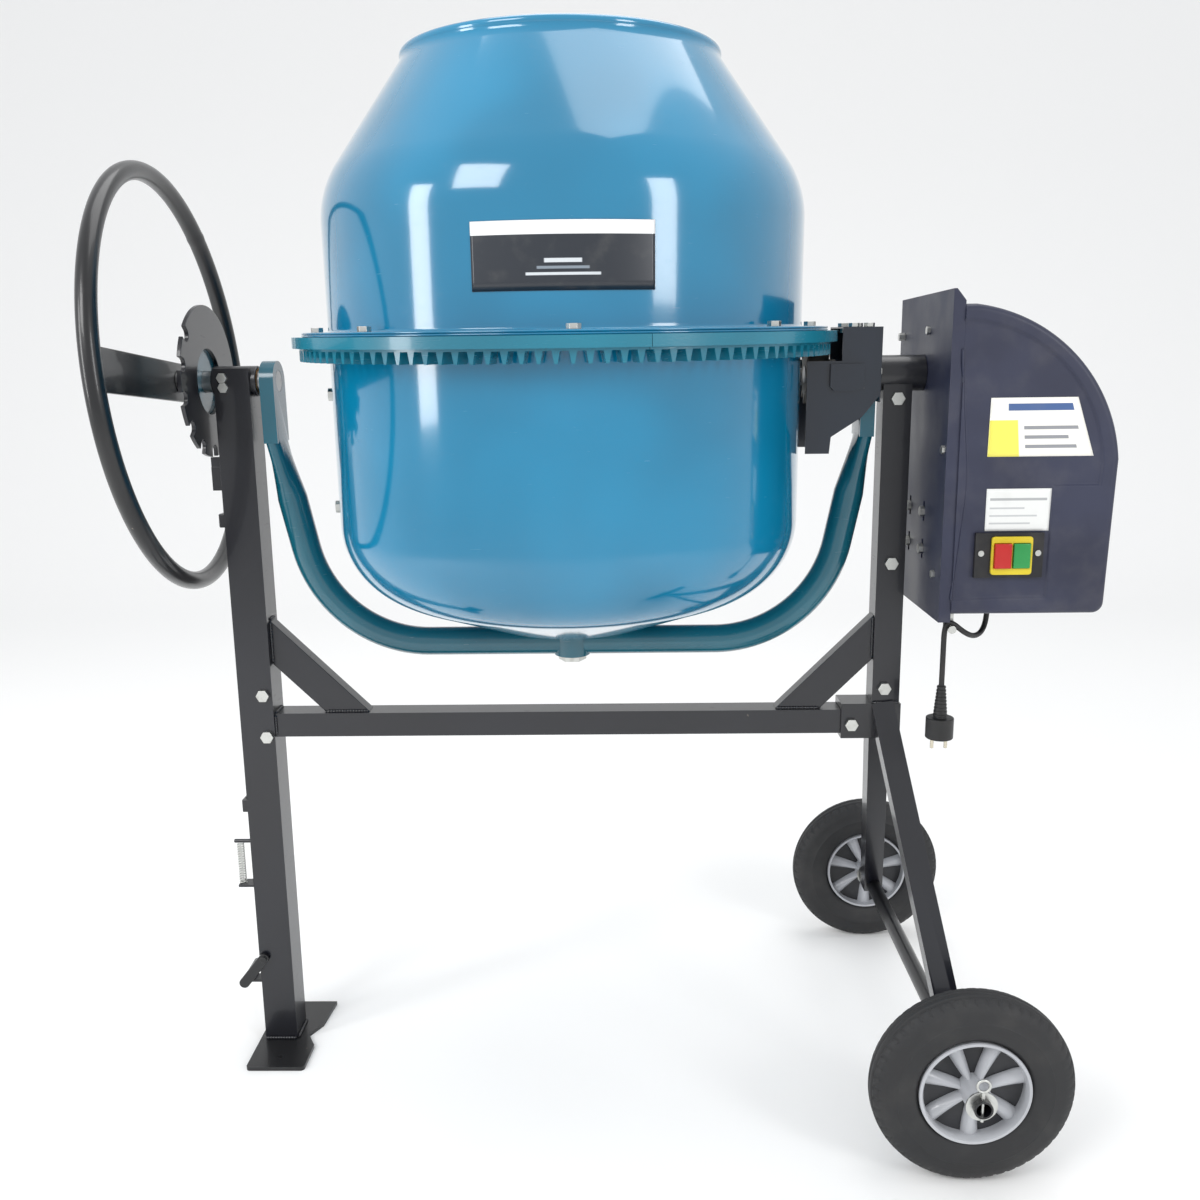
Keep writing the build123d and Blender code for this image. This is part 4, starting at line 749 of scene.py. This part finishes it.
@dataclass
class Drum:
    """The two-part drum, its ring gear, blades and fasteners."""

    machine: Machine
    radius: float = 325.0
    wall: float = 3.0
    seam: float = 1090.0
    flange: float = 360.0
    shoulder: Point = (1229.0, 131.0, 35.0)
    mouth: float = 1437.0
    bead: float = 6.0
    corner: Point = (831.0, 113.0, 20.4)
    floor_radius: float = 120.0
    segments: int = 288
    label_below: tuple[float, float] = (94, 19)
    label_angles: tuple[float, float] = (-106.1, -69.3)

    def turn(self, name: str, profile: Array, node: str, finish: str) -> Piece:
        """Turn a closed profile about the drum's axis.

        A point at radius r and height z goes to (r cos a, r sin a, z). The sheet isn't a true circle: r
        swells by a third of a millimetre in three and five long waves that drift with height.

        Args:
            name: The piece's name.
            profile: Radius and height, of shape (count, 2).
            node: The CAD node that it stands for.
            finish: The finish's key.

        Returns:
            The new piece.
        """
        angle = np.linspace(0, 2 * np.pi, self.segments, endpoint=False)[None, :]
        r, z = profile[:, 0][:, None], profile[:, 1][:, None]
        wave = 0.22 * np.sin(3 * angle + z / 90) + 0.14 * np.sin(5 * angle - z / 60)
        r = r + wave * np.clip(r / self.radius, 0, 1) ** 4 * (r < self.radius + 2)
        grid = np.stack([r * np.cos(angle), r * np.sin(angle), np.broadcast_to(z, r.shape)], -1)
        piece = sheet_mesh(name, self.machine.place.leaned(grid), True, True)
        return self.machine.dress(outward(piece, crease=50), node, finish)

    def upper_profile(self) -> Array:
        """Flange, straight side, shoulder arc, cone and a wired lip, then back down the inside.

        Returns:
            Radius and height, of shape (count, 2).
        """
        height, radius, slope = self.shoulder
        centre = (self.radius - radius, height)
        lean = math.radians(slope)
        end = arc(centre, radius, slope, slope, 1)[0]
        lip = end[0] - (self.mouth - end[1]) * math.tan(lean)
        flange_top = self.seam + self.wall
        outer = [np.array([[self.radius - self.wall, self.seam], [self.flange - 1, self.seam]]),
                 arc((self.flange - 1.5, self.seam + 1.5), 1.5, -90, 90, 7),
                 arc((self.radius + 3, flange_top + 3), 3, 270, 180, 7),
                 np.stack([np.full(30, self.radius), np.linspace(flange_top + 6, height - 2, 30)], -1),
                 arc(centre, radius, 0, slope, 26),
                 np.stack([np.linspace(end[0], lip + 5, 24)[1:],
                           np.linspace(end[1], self.mouth - 7, 24)[1:]], -1)]
        wire = arc((lip - 2, self.mouth + 3), self.bead, -35, 235, 26)
        inner = [np.stack([np.linspace(lip - 1, end[0] - self.wall, 16),
                           np.linspace(self.mouth - 8, end[1], 16)], -1),
                 arc(centre, radius - self.wall, slope, 0, 14),
                 np.stack([np.full(10, self.radius - self.wall),
                           np.linspace(height - 4, self.seam + 4, 10)], -1)]
        return np.concatenate(outer + [wire] + inner)

    def lower_profile(self) -> Array:
        """Flange, straight side, round corner, shallow cone and flat disc, then back up the inside.

        Returns:
            Radius and height, of shape (count, 2).
        """
        height, radius, slope = self.corner
        centre = (self.radius - radius, height)
        end = arc(centre, radius, slope - 90, slope - 90, 1)[0]
        floor = end[1] - (end[0] - self.floor_radius) * math.tan(math.radians(slope))
        thin = self.wall
        underside = self.seam - thin
        outer = [np.array([[self.radius - thin, self.seam], [self.flange - 1, self.seam]]),
                 arc((self.flange - 1.5, self.seam - 1.5), 1.5, 90, -90, 7),
                 np.array([[self.radius, underside]]),
                 np.stack([np.full(26, self.radius), np.linspace(underside - 3, height + 3, 26)], -1),
                 arc(centre, radius, 0, slope - 90, 26),
                 arc((self.floor_radius, floor + 9), 9, slope - 90, -90, 6),
                 np.array([[60.0, floor], [0.01, floor]])]
        inner = [np.array([[0.01, floor + thin], [60.0, floor + thin]]),
                 np.array([[self.floor_radius - 1, floor + thin + 0.4]]),
                 arc(centre, radius - thin, slope - 90, 0, 18),
                 np.stack([np.full(12, self.radius - thin), np.linspace(height + 3, self.seam - 4, 12)], -1)]
        return np.concatenate(outer + inner)

    def label(self) -> Piece:
        """Film on the drum's side: (r cos a, r sin a, z) over the label's angles and heights.

        Returns:
            The new piece.
        """
        low, high = (self.shoulder[0] - below for below in self.label_below)
        angle = np.radians(np.linspace(*self.label_angles, 60))[None, :]
        height = np.linspace(low, high, 8)[:, None]
        radius = self.radius + 0.75
        grid = np.stack(np.broadcast_arrays(radius * np.cos(angle), radius * np.sin(angle), height), -1)
        piece = sheet_mesh("drum_film", self.machine.place.leaned(grid), False, False, uv=True)
        wall = piece.modifiers.new("film", "SOLIDIFY")
        wall.thickness = 0.5 * MM
        wall.offset = -1
        piece.data.shade_smooth()
        return self.machine.dress(piece, "drum_label", "drum_film")

    def build(self) -> None:
        """Make and dress the drum."""
        machine = self.machine
        self.turn("drum_cone", self.upper_profile(), "drum_upper", "drum")
        self.turn("drum_bowl", self.lower_profile(), "drum_lower", "drum")
        self.label()
        machine.soften("ring_gear", "ring", 0.5)
        machine.soften("flange_bolts", "zinc", 0.5)
        machine.soften("drum_bolts", "zinc", 0.5)
        machine.soften("mixing_blades", "drum", 0.8)
        machine.soften("drum_spindle", "steel", 0.8)
        machine.soften("spindle_nut", "zinc", 0.8)


@dataclass
class Yoke:
    """The tilting yoke with its trunnions, handwheel, lock disc and gear guard."""

    machine: Machine
    wheel_x: float = -556.5
    wheel_radius: float = 283.0
    wheel_tube: float = 13.0
    axis_height: float = 1027.0
    lean: float = 3.8
    toe: float = 2.4
    turn: float = -4.0
    bar: tuple[float, float] = (55.0, 6.0)

    def stand(self, local: Array) -> Array:
        """Set handwheel points as the wheel stands at rest.

        Args:
            local: Points with x across the wheel, y along its bar and z up.

        Returns:
            The points in row-frame metres.
        """
        roll, lean, toe = (math.radians(v) for v in (self.turn, -self.lean, self.toe))
        matrix = (Matrix.Rotation(toe, 3, "Z") @ Matrix.Rotation(lean, 3, "Y")
                  @ Matrix.Rotation(roll, 3, "X"))
        turned = local @ np.array(matrix).T
        return self.machine.place.straight(turned + np.array([self.wheel_x, 0, self.axis_height]))

    def handwheel(self) -> None:
        """Bent tube and flat cross bar.

        The tube is the torus ((R + t cos b) cos a, (R + t cos b) sin a, t sin b), with t swelling a little
        over its butt weld. The bar is a box whose corners are rounded as a superellipse of power 8.
        """
        a = np.linspace(0, 2 * np.pi, 240, endpoint=False)[:, None]
        b = np.linspace(0, 2 * np.pi, 28, endpoint=False)[None, :]
        weld = 0.7 * np.exp(-((np.mod(a + 2.2, 2 * np.pi) - np.pi) / 0.012) ** 2)
        t = self.wheel_tube - 0.4 + weld
        out = self.wheel_radius + t * np.cos(b)
        torus = np.stack([t * np.sin(b), out * np.cos(a), out * np.sin(a)], -1)
        rim = sheet_mesh("handwheel_rim", self.stand(torus), True, True)
        self.machine.dress(outward(rim), "handwheel", "knocked")
        c = np.linspace(0, 2 * np.pi, 64, endpoint=False)
        half_width, half_thick = self.bar[0] / 2, self.bar[1] / 2
        high = half_width * np.sign(np.sin(c)) * np.abs(np.sin(c)) ** 0.25
        thick = half_thick * np.sign(np.cos(c)) * np.abs(np.cos(c)) ** 0.25
        along = np.linspace(-self.wheel_radius + 8, self.wheel_radius - 8, 40)[:, None]
        section = np.broadcast_arrays(thick[None, :], along, high[None, :])
        bar = sheet_mesh("handwheel_bar", self.stand(np.stack(section, -1)), False, True)
        close_ends(bar)
        self.machine.dress(outward(bar), "handwheel", "knocked", stands_for=False)

    def build(self) -> None:
        """Make and dress the yoke's group."""
        machine = self.machine
        self.handwheel()
        machine.soften("yoke_tube", "yoke", 1.5, 40)
        machine.soften("trunnions", "steel", 1.0)
        machine.soften("hub_disc", "yoke", 0.8)
        machine.soften("lock_disc", "frame", 0.8)
        machine.soften("spindle_housing", "yoke", 0.8)
        machine.soften("spindle_bearings", "steel", 0.5)
        machine.soften("gear_guard", "guard", 0.8)
        machine.soften("guard_bolts", "zinc", 0.4)


@dataclass
class Wheel:
    """One wheel: moulded tyre, silver rim with seven spokes, a dish painted dark grey as the shade inside the
    wheel, and hub.
    """

    machine: Machine
    name: str
    side: int
    x: float = 518.0
    track: float = 322.0
    radius: float = 131.0
    width: float = 50.0
    rim: float = 70.6
    hub: float = 18.0
    bore: float = 12.2
    spokes: int = 7
    notches: int = 54

    def place_points(self, radius: Array, angle: Array, out: Array) -> Array:
        """Place wheel points.

        Args:
            radius: Distance from the axle.
            angle: Angle in the wheel's plane.
            out: Distance away from the machine.

        Returns:
            The points in row-frame metres.
        """
        r, a, o = np.broadcast_arrays(radius, angle, out)
        grid = np.stack([self.x + r * np.cos(a), self.side * (self.track + o),
                         self.radius + r * np.sin(a)], -1)
        return self.machine.place.straight(grid)

    def tyre(self) -> None:
        """Tyre turned from a closed section.

        The section runs bead, sidewall with a step, shoulder, crown and back. On the crown the radius drops
        by a groove where |out| is near 0 or 9.5 mm, and past 11.5 mm by notches that repeat 54 times
        round the tyre.
        """
        half = self.width / 2
        side = np.array([[self.rim, 14.0], [self.rim + 3, half - 6], [self.rim + 8, half - 2.5],
                         [self.rim + 20, half - 0.6], [self.rim + 29, half], [self.rim + 30.5, half - 1.2],
                         [self.radius - 19, half - 1.6], [self.radius - 12, half - 4.0]])
        crown = np.linspace(half - 7, -half + 7, 61)
        bulge = self.radius - 0.2 - 7.2 * np.abs(crown / (half - 7)) ** 3
        section = np.concatenate([side, np.stack([bulge, crown], -1), side[::-1] * [1, -1]])
        angle = np.linspace(0, 2 * np.pi, 432, endpoint=False)[None, :]
        r, out = section[:, 0][:, None], section[:, 1][:, None]
        on_crown = (r > self.radius - 11).astype(float)
        lines = np.exp(-(out / 1.3) ** 2) + np.exp(-((np.abs(out) - 9.5) / 1.3) ** 2)
        notch = (np.abs(out) > 11.5) * (np.cos(self.notches * angle + out * 0.10) > 0.55)
        r = r - on_crown * (2.2 * np.clip(lines, 0, 1) + 1.8 * notch)
        piece = sheet_mesh(self.name + "_tyre_tread", self.place_points(r, angle, out), True, True)
        self.machine.dress(outward(piece, crease=40), self.name + "_tyre", "tyre")

    def lathe(self, part: str, section: list[tuple[float, float]], finish: str,
              stands_for: bool) -> None:
        """Turn a closed section about the axle.

        Args:
            part: The piece's name, after the wheel's.
            section: Points of radius and distance out.
            finish: The finish's key.
            stands_for: Whether it takes the rim node's place.
        """
        points = np.array(section)
        angle = np.linspace(0, 2 * np.pi, 96, endpoint=False)[None, :]
        grid = self.place_points(points[:, 0][:, None], angle, points[:, 1][:, None])
        piece = sheet_mesh(f"{self.name}_{part}", grid, True, True)
        self.machine.dress(outward(piece, crease=30), self.name + "_rim", finish, stands_for)

    def spoke(self, number: int) -> None:
        """One spoke: a ridge from hub to rim on both faces of the wheel.

        It stands out by h (0.3 + 0.7 (1 - |s|^2.2)), s from -1 to 1 across its width. Its half width grows
        from 5 mm at the hub to 11 mm at the rim, and its crest drops outwards.

        Args:
            number: Which spoke, counted from 0.
        """
        along = np.linspace(0, 1, 22)[:, None]
        across = np.linspace(-1, 1, 17)[None, :]
        reach = self.hub - 2 + along * (self.rim - 4 - self.hub + 2)
        half = 4.6 + 6.6 * along ** 0.8
        crest = 16.0 - 8.0 * along + 3.0 * along ** 3
        front = crest * (0.3 + 0.7 * (1 - np.abs(across) ** 2.2))
        back = -front
        centre = 2 * np.pi * (number + 0.25) / self.spokes
        angle = centre + np.arcsin(np.clip(half * across / reach, -0.9, 0.9))
        full_out = np.concatenate([front, back[:, ::-1]], 1)
        full_angle = np.concatenate([angle, angle[:, ::-1]], 1)
        grid = self.place_points(np.broadcast_to(reach, full_out.shape), full_angle, full_out)
        piece = sheet_mesh(f"{self.name}_spoke_{number + 1}", grid, False, True)
        close_ends(piece)
        self.machine.dress(outward(piece, crease=50), self.name + "_rim", "silver", stands_for=False)

    def build(self) -> None:
        """Make and dress the wheel."""
        rim, hub, bore = self.rim, self.hub, self.bore
        self.tyre()
        band = [(rim - 4, -20), (rim - 0.5, -20), (rim, -13), (rim, 13), (rim - 0.2, 17),
                (rim + 1.2, 20.5), (rim + 0.6, 22.5), (rim - 3, 22.5), (rim - 5, 19), (rim - 5, 10),
                (rim - 4, 6)]
        dish = [(hub - 1, -2.5), (rim - 3.5, -2.5), (rim - 3.5, 1.5), (rim - 14, -0.5),
                (hub + 8, 1.0), (hub - 1, 2.5)]
        tube = [(bore, -32), (hub - 1, -32), (hub, -31), (hub, 41), (hub - 1.5, 43), (bore + 1, 43),
                (bore, 42)]
        self.lathe("rim_band", band, "silver", True)
        # the dish takes the dark grey of the painted shade inside the wheel
        self.lathe("rim_dish", dish, "rim_shadow", False)
        self.lathe("hub_tube", tube, "silver", False)
        for number in range(self.spokes):
            self.spoke(number)


@dataclass
class Housing:
    """The motor housing: moulded cover, back pan, switch, films, motor and drive."""

    machine: Machine
    left: float = 517.0
    right: float = 727.0
    foot: float = 721.0
    bottom: float = 708.0
    top: float = 1114.0
    crown_x: float = 532.0
    side_top: float = 914.0
    bulge: float = 48.2
    half: float = 134.0
    rim_rise: float = 2.5
    rounding: float = 9.0
    heart: tuple[float, float] = (612.0, 885.0)
    rays: int = 720
    border: tuple[float, float] = (21, 25)
    field_left: tuple[float, float] = (640, 643)
    field_top: tuple[float, float] = (883, 879)
    wall: float = 3.0

    def outline(self) -> Array:
        """Front view of the cover: foot corner, drafted side, one large round corner, flat top.

        Returns:
            Points of X and height, of shape (count, 2).
        """
        start, end = np.array([self.right, self.side_top]), np.array([self.crown_x, self.top])
        chord = end - start
        span = np.linalg.norm(chord)
        radius = (span ** 2 / 4 + self.bulge ** 2) / (2 * self.bulge)
        square = np.array([chord[1], -chord[0]]) / span
        centre = (start + end) / 2 + square * (self.bulge - radius)
        first = math.degrees(math.atan2(*(start - centre)[::-1]))
        last = math.degrees(math.atan2(*(end - centre)[::-1]))
        reach = self.left - self.rounding - self.rim_rise
        return np.concatenate([np.array([[reach, self.bottom], [self.foot - 14, self.bottom]]),
                               arc((self.foot - 14, self.bottom + 14), 14, -90, 0, 8),
                               arc(tuple(centre), radius, first, last, 60), np.array([[reach, self.top]])])

    def reach_along_rays(self) -> tuple[Array, Array]:
        """Distance from the cover's heart to its outline along even angles.

        Returns:
            The angles and the distance at each.
        """
        outline = self.outline()
        closed = np.concatenate([outline, outline[:1]])
        fine = np.concatenate([np.linspace(a, b, 60, endpoint=False)
                               for a, b in zip(closed[:-1], closed[1:])])
        away = fine - np.array(self.heart)
        angle = np.arctan2(away[:, 1], away[:, 0])
        order = np.argsort(angle)
        rays = np.linspace(-np.pi, np.pi, self.rays, endpoint=False)
        reach = np.interp(rays, angle[order], np.linalg.norm(away, axis=1)[order], period=2 * np.pi)
        return rays, reach

    def cover(self) -> None:
        """Moulded cover as rings about its heart.

        A ring at share s of the way to the outline lies at heart + s R(a) (cos a, sin a). Across the depth
        the rings run front face, quarter round, side, quarter round, back face. The front's border and its
        lower right field stand proud by the rim's rise. The front steps down smoothly over the border's
        two distances from the outline, and the field ends over field_left along X and field_top in
        height. The side towards the pan is cut away.
        """
        rays, reach = self.reach_along_rays()
        face = np.linspace(0.02, 1, 110)[:, None]
        inset_face = self.rounding + (1 - face) * (reach[None, :] - self.rounding)
        quarter = np.linspace(0, np.pi / 2, 8)[1:, None]
        inset_round = np.broadcast_to(self.rounding * (1 - np.sin(quarter)), (7, self.rays))
        depth_round = self.half + self.rim_rise - self.rounding * (1 - np.cos(quarter))
        x = self.heart[0] + (reach - inset_face) * np.cos(rays)
        z = self.heart[1] + (reach - inset_face) * np.sin(rays)
        clear_of_edge = smooth_step(inset_face, *self.border)
        raised_field = smooth_step(x, *self.field_left) * smooth_step(-z, *(-h for h in self.field_top))
        panel = clear_of_edge * (1 - raised_field)
        front = self.half + self.rim_rise * (1 - panel)
        side = np.linspace(1, -1, 12)[1:-1, None]
        depth = np.concatenate([front, np.broadcast_to(depth_round, (7, self.rays)),
                                np.broadcast_to(side * (self.half - 7), (10, self.rays))])
        inset = np.concatenate([inset_face, inset_round, np.zeros((10, self.rays))])
        back_inset = np.concatenate([inset_round[::-1], inset_face[::-1][::6]])
        back_depth = np.concatenate([-(depth_round[::-1] - self.rim_rise) * np.ones((1, self.rays)),
                                     -self.half * np.ones((len(inset_face[::6]), self.rays))])
        inset, depth = np.concatenate([inset, back_inset]), np.concatenate([depth, back_depth])
        x = np.maximum(self.heart[0] + (reach - inset) * np.cos(rays), self.left)
        z = self.heart[1] + (reach - inset) * np.sin(rays)
        grid = self.machine.place.straight(np.stack([x, -depth, z], -1))
        piece = sheet_mesh("motor_cover_moulding", grid, False, True)
        work = bmesh.new()
        work.from_mesh(piece.data)
        bmesh.ops.remove_doubles(work, verts=work.verts, dist=MERGE)
        limit = self.machine.place.straight(np.array([[self.left, 0, 0]]))[0][0] + 2e-4
        bmesh.ops.holes_fill(work, edges=[e for e in work.edges if e.is_boundary])
        joint_face = [f for f in work.faces if max(v.co.x for v in f.verts) < limit]
        bmesh.ops.delete(work, geom=joint_face, context="FACES")
        bmesh.ops.recalc_face_normals(work, faces=work.faces)
        work.to_mesh(piece.data)
        work.free()
        piece.data.shade_smooth()
        piece.data.set_sharp_from_angle(angle=math.radians(45))
        wall = piece.modifiers.new("wall", "SOLIDIFY")
        wall.thickness = self.wall * MM
        wall.offset = -1
        self.machine.dress(piece, "motor_cover", "cover")

    def film(self, name: str, corners: list[tuple[float, float]], finish: str,
             stands_for: bool) -> None:
        """Film on the cover's front: the patch between four corners.

        A point at shares u and v is (1 - u)(1 - v) A + u (1 - v) B + u v C + (1 - u) v D.

        Args:
            name: The film's name.
            corners: X and height of A to D, low left first, round to the right.
            finish: The finish's key.
            stands_for: Whether it takes the label node's place.
        """
        a, b, c, d = (np.array(p) for p in corners)
        u = np.linspace(0, 1, 24)[None, :, None]
        v = np.linspace(0, 1, 14)[:, None, None]
        flat = (1 - u) * (1 - v) * a + u * (1 - v) * b + u * v * c + (1 - u) * v * d
        grid = np.stack([flat[..., 0], np.full(flat.shape[:2], -self.half - 0.45), flat[..., 1]], -1)
        piece = sheet_mesh(name, self.machine.place.straight(grid), False, False, uv=True)
        wall = piece.modifiers.new("film", "SOLIDIFY")
        wall.thickness = 0.35 * MM
        self.machine.dress(piece, "cover_labels", finish, stands_for)

    def build(self) -> None:
        """Make and dress the housing's group."""
        machine = self.machine
        self.cover()
        self.film("caution_film", [(554, 919), (692, 919), (667, 995), (555, 995)], "caution_film", True)
        self.film("rating_film", [(556, 821), (640, 821), (641, 877), (556, 877)], "rating_film", False)
        for node, finish, edge in (
                ("back_pan", "cover", 0.8), ("housing_bolts", "zinc", 0.5),
                ("switch_base", "black_plastic", 1.2), ("switch_frame", "yellow", 1.0),
                ("stop_button", "red", 0.6), ("start_button", "green", 0.6),
                ("motor_body", "alloy", 0.6), ("drive_belt", "rubber", 0.3),
                ("motor_pulley", "steel", 0.4), ("large_pulley", "black_plastic", 0.5),
                ("drive_shaft", "steel", 0.8), ("pinion", "cast", 0.4)):
            machine.soften(node, finish, edge)


@dataclass
class Chassis:
    """The posts, beam, braces, legs, axle, foot plate, latch and pedal."""

    machine: Machine
    spring_x: float = -514.0
    spring_y: float = -16.0
    spring_low: float = 266.0
    spring_high: float = 333.0
    spring_radius: float = 5.0
    spring_wire: float = 0.9
    coils: int = 16
    latch_rise: float = 14.5
    welds: dict[str, tuple[str, list[Point]]] = field(default_factory=lambda: {
        "foot_weld_front": ("foot_plate", [(-495, -26.5, 7.5), (-445, -26.5, 7.5)]),
        "foot_weld_rear": ("foot_plate", [(-495, 26.5, 7.5), (-445, 26.5, 7.5)]),
        "foot_weld_side": ("foot_plate", [(-443.5, -25, 7.5), (-443.5, 25, 7.5)]),
        "left_brace_top": ("left_brace", [(-444, -12, 682), (-444, 12, 682)]),
        "left_brace_front": ("left_brace", [(-444, -12.5, 616), (-444, -12.5, 680)]),
        "left_brace_foot": ("left_brace", [(-370, -12.5, 541), (-304, -12.5, 541)]),
        "right_brace_front": ("right_brace", [(441, -12.5, 616), (441, -12.5, 680)]),
        "right_brace_foot": ("right_brace", [(367, -12.5, 541), (301, -12.5, 541)]),
        "beam_weld_front": ("cross_beam", [(-444, -20.5, 505), (-444, -20.5, 539)]),
        "beam_weld_top": ("cross_beam", [(-444, -20, 540.5), (-444, 20, 540.5)]),
        "head_weld_front": ("leg_head", [(442, -21.5, 551), (482, -21.5, 551)])})

    def spring(self) -> None:
        """Latch spring: a wire on a helix, (x + r cos a, y + r sin a, z + pitch a)."""
        turns = np.linspace(0, self.coils * 2 * np.pi, self.coils * 24)
        height = np.linspace(self.spring_low + 1, self.spring_high - 1, turns.size)
        path = np.stack([self.spring_x + self.spring_radius * np.cos(turns),
                         self.spring_y + self.spring_radius * np.sin(turns), height], -1)
        tangent = np.gradient(path, axis=0)
        tangent /= np.linalg.norm(tangent, axis=1, keepdims=True)
        radial = np.stack([np.cos(turns), np.sin(turns), np.zeros_like(turns)], -1)
        other = np.cross(tangent, radial)
        angle = np.linspace(0, 2 * np.pi, 8, endpoint=False)
        ring = radial[:, None] * np.cos(angle)[None, :, None] + other[:, None] * np.sin(angle)[None, :, None]
        grid = path[:, None] + self.spring_wire * ring
        piece = sheet_mesh("latch_spring_wire", self.machine.place.straight(grid), False, True)
        close_ends(piece)
        self.machine.dress(outward(piece), "latch_spring", "zinc")
        anchor = self.machine.place.straight(np.array([self.spring_x, self.spring_y, self.spring_high]))
        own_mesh(piece)

    def build(self) -> None:
        """Make and dress the frame's group."""
        machine = self.machine
        self.spring()
        for node in ("left_post", "right_post", "cross_beam", "left_brace", "right_brace", "leg_head",
                     "front_leg", "rear_leg", "left_bearing_sleeve", "right_bearing_sleeve",
                     "latch_strap", "latch_guides"):
            machine.soften(node, "frame", 1.6)
        for node in ("foot_plate", "pedal", "axle"):
            machine.soften(node, "knocked", 1.0)
        machine.soften("frame_bolts", "zinc", 0.7)
        machine.soften("wheel_retainers", "zinc", 0.5)
        machine.soften("trunnion_bushes", "bronze", 0.4)
        for name, (node, line) in self.welds.items():
            machine.bead(name, node, np.array(line, float), "frame")


@dataclass
class Studio:
    """Pale floor, soft light and the camera."""

    place: Place
    eye: Point = (74.008, -1620.441, 1039.890)
    yaw: float = -0.019388
    pitch: float = 0.203923
    roll: float = -0.012955
    focal_share: float = 1124.18 / 1200
    sensor: float = 36.0
    aim_height: float = 0.9
    rise_from: float = 3.2
    rise_rate: float = 0.35

    def camera(self) -> None:
        """Aim the camera by yaw, then pitch down, then roll."""
        ahead = Vector((math.sin(self.yaw), math.cos(self.yaw), 0))
        right = Vector((math.cos(self.yaw), -math.sin(self.yaw), 0))
        up = Vector((0, 0, 1))
        look = ahead * math.cos(self.pitch) - up * math.sin(self.pitch)
        top = up * math.cos(self.pitch) + ahead * math.sin(self.pitch)
        side = right * math.cos(self.roll) + top * math.sin(self.roll)
        head = top * math.cos(self.roll) - right * math.sin(self.roll)
        turn = Matrix((side, head, -look)).transposed()
        data = bpy.data.cameras.new("camera")
        data.sensor_width = self.sensor
        data.lens = self.sensor * self.focal_share
        camera = bpy.data.objects.new("camera", data)
        stand = Matrix.Translation(Vector(self.place.straight(np.array(self.eye))))
        camera.matrix_world = stand @ turn.to_4x4()
        bpy.context.scene.collection.objects.link(camera)
        bpy.context.scene.camera = camera

    def lamp(self, name: str, where: Point, size: tuple[float, float], power: float) -> None:
        """Hang one soft box that looks at the drum.

        Args:
            name: The lamp's name.
            where: Where it hangs, in metres.
            size: Width and height, in metres.
            power: Watts.
        """
        data = bpy.data.lights.new(name, "AREA")
        data.shape = "RECTANGLE"
        data.size, data.size_y = size
        data.energy = power
        lamp = bpy.data.objects.new(name, data)
        lamp.location = where
        aim = Vector((0, 0, self.aim_height)) - Vector(where)
        lamp.rotation_euler = aim.to_track_quat("-Z", "Y").to_euler()
        bpy.context.scene.collection.objects.link(lamp)

    def build(self) -> None:
        """Set up the floor, the lamps, the sky and the view transform.

        The floor is flat and rises behind the machine as the square of the distance past rise_from.
        """
        rows = np.linspace(-9, 9, 73)
        x, y = np.meshgrid(rows, rows, indexing="ij")
        rise = np.clip(y - self.rise_from, 0, None) ** 2 * self.rise_rate
        floor = sheet_mesh("floor", np.stack([x, y, rise], -1), False, False)
        floor.data.shade_smooth()
        paper = Moulding("studio_paper", "#f5f5f4", "#f5f5f4", 0.8, 6.0, 0.01, 0.0)
        floor.data.materials.append(paper.build())
        self.lamp("key", (-1.9, -2.6, 2.9), (1.3, 1.3), 42)
        self.lamp("window_left", (-2.6, -1.4, 1.5), (0.5, 1.6), 22)
        self.lamp("window_right", (2.4, -2.4, 1.9), (0.7, 1.6), 28)
        self.lamp("top", (0.2, 0.4, 3.4), (2.2, 2.2), 34)
        world = bpy.data.worlds.new("studio")
        world.use_nodes = True
        sky = world.node_tree.nodes["Background"]
        sky.inputs[0].default_value = (0.97, 0.98, 1.0, 1.0)
        sky.inputs[1].default_value = 0.9
        bpy.context.scene.world = world
        bpy.context.scene.view_settings.view_transform = "Standard"


def main() -> None:
    """Build every sub-assembly in turn."""
    logging.basicConfig(level=logging.INFO, format="%(name)s: %(message)s")
    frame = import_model()
    place = Place.from_frame(frame)
    studio = Studio(place)
    studio.camera()
    machine = Machine(frame, Palette(), place)
    Cord(machine).build()
    Drum(machine).build()
    Yoke(machine).build()
    Wheel(machine, "front", -1).build()
    Wheel(machine, "rear", 1).build()
    Housing(machine).build()
    Chassis(machine).build()
    studio.build()
    missing = sorted(set(frame["nodes"]) - machine.dressed)
    LOG.info("nodes left as they came: %s", missing)
    bpy.context.view_layer.update()


if __name__ == "__main__":
    main()
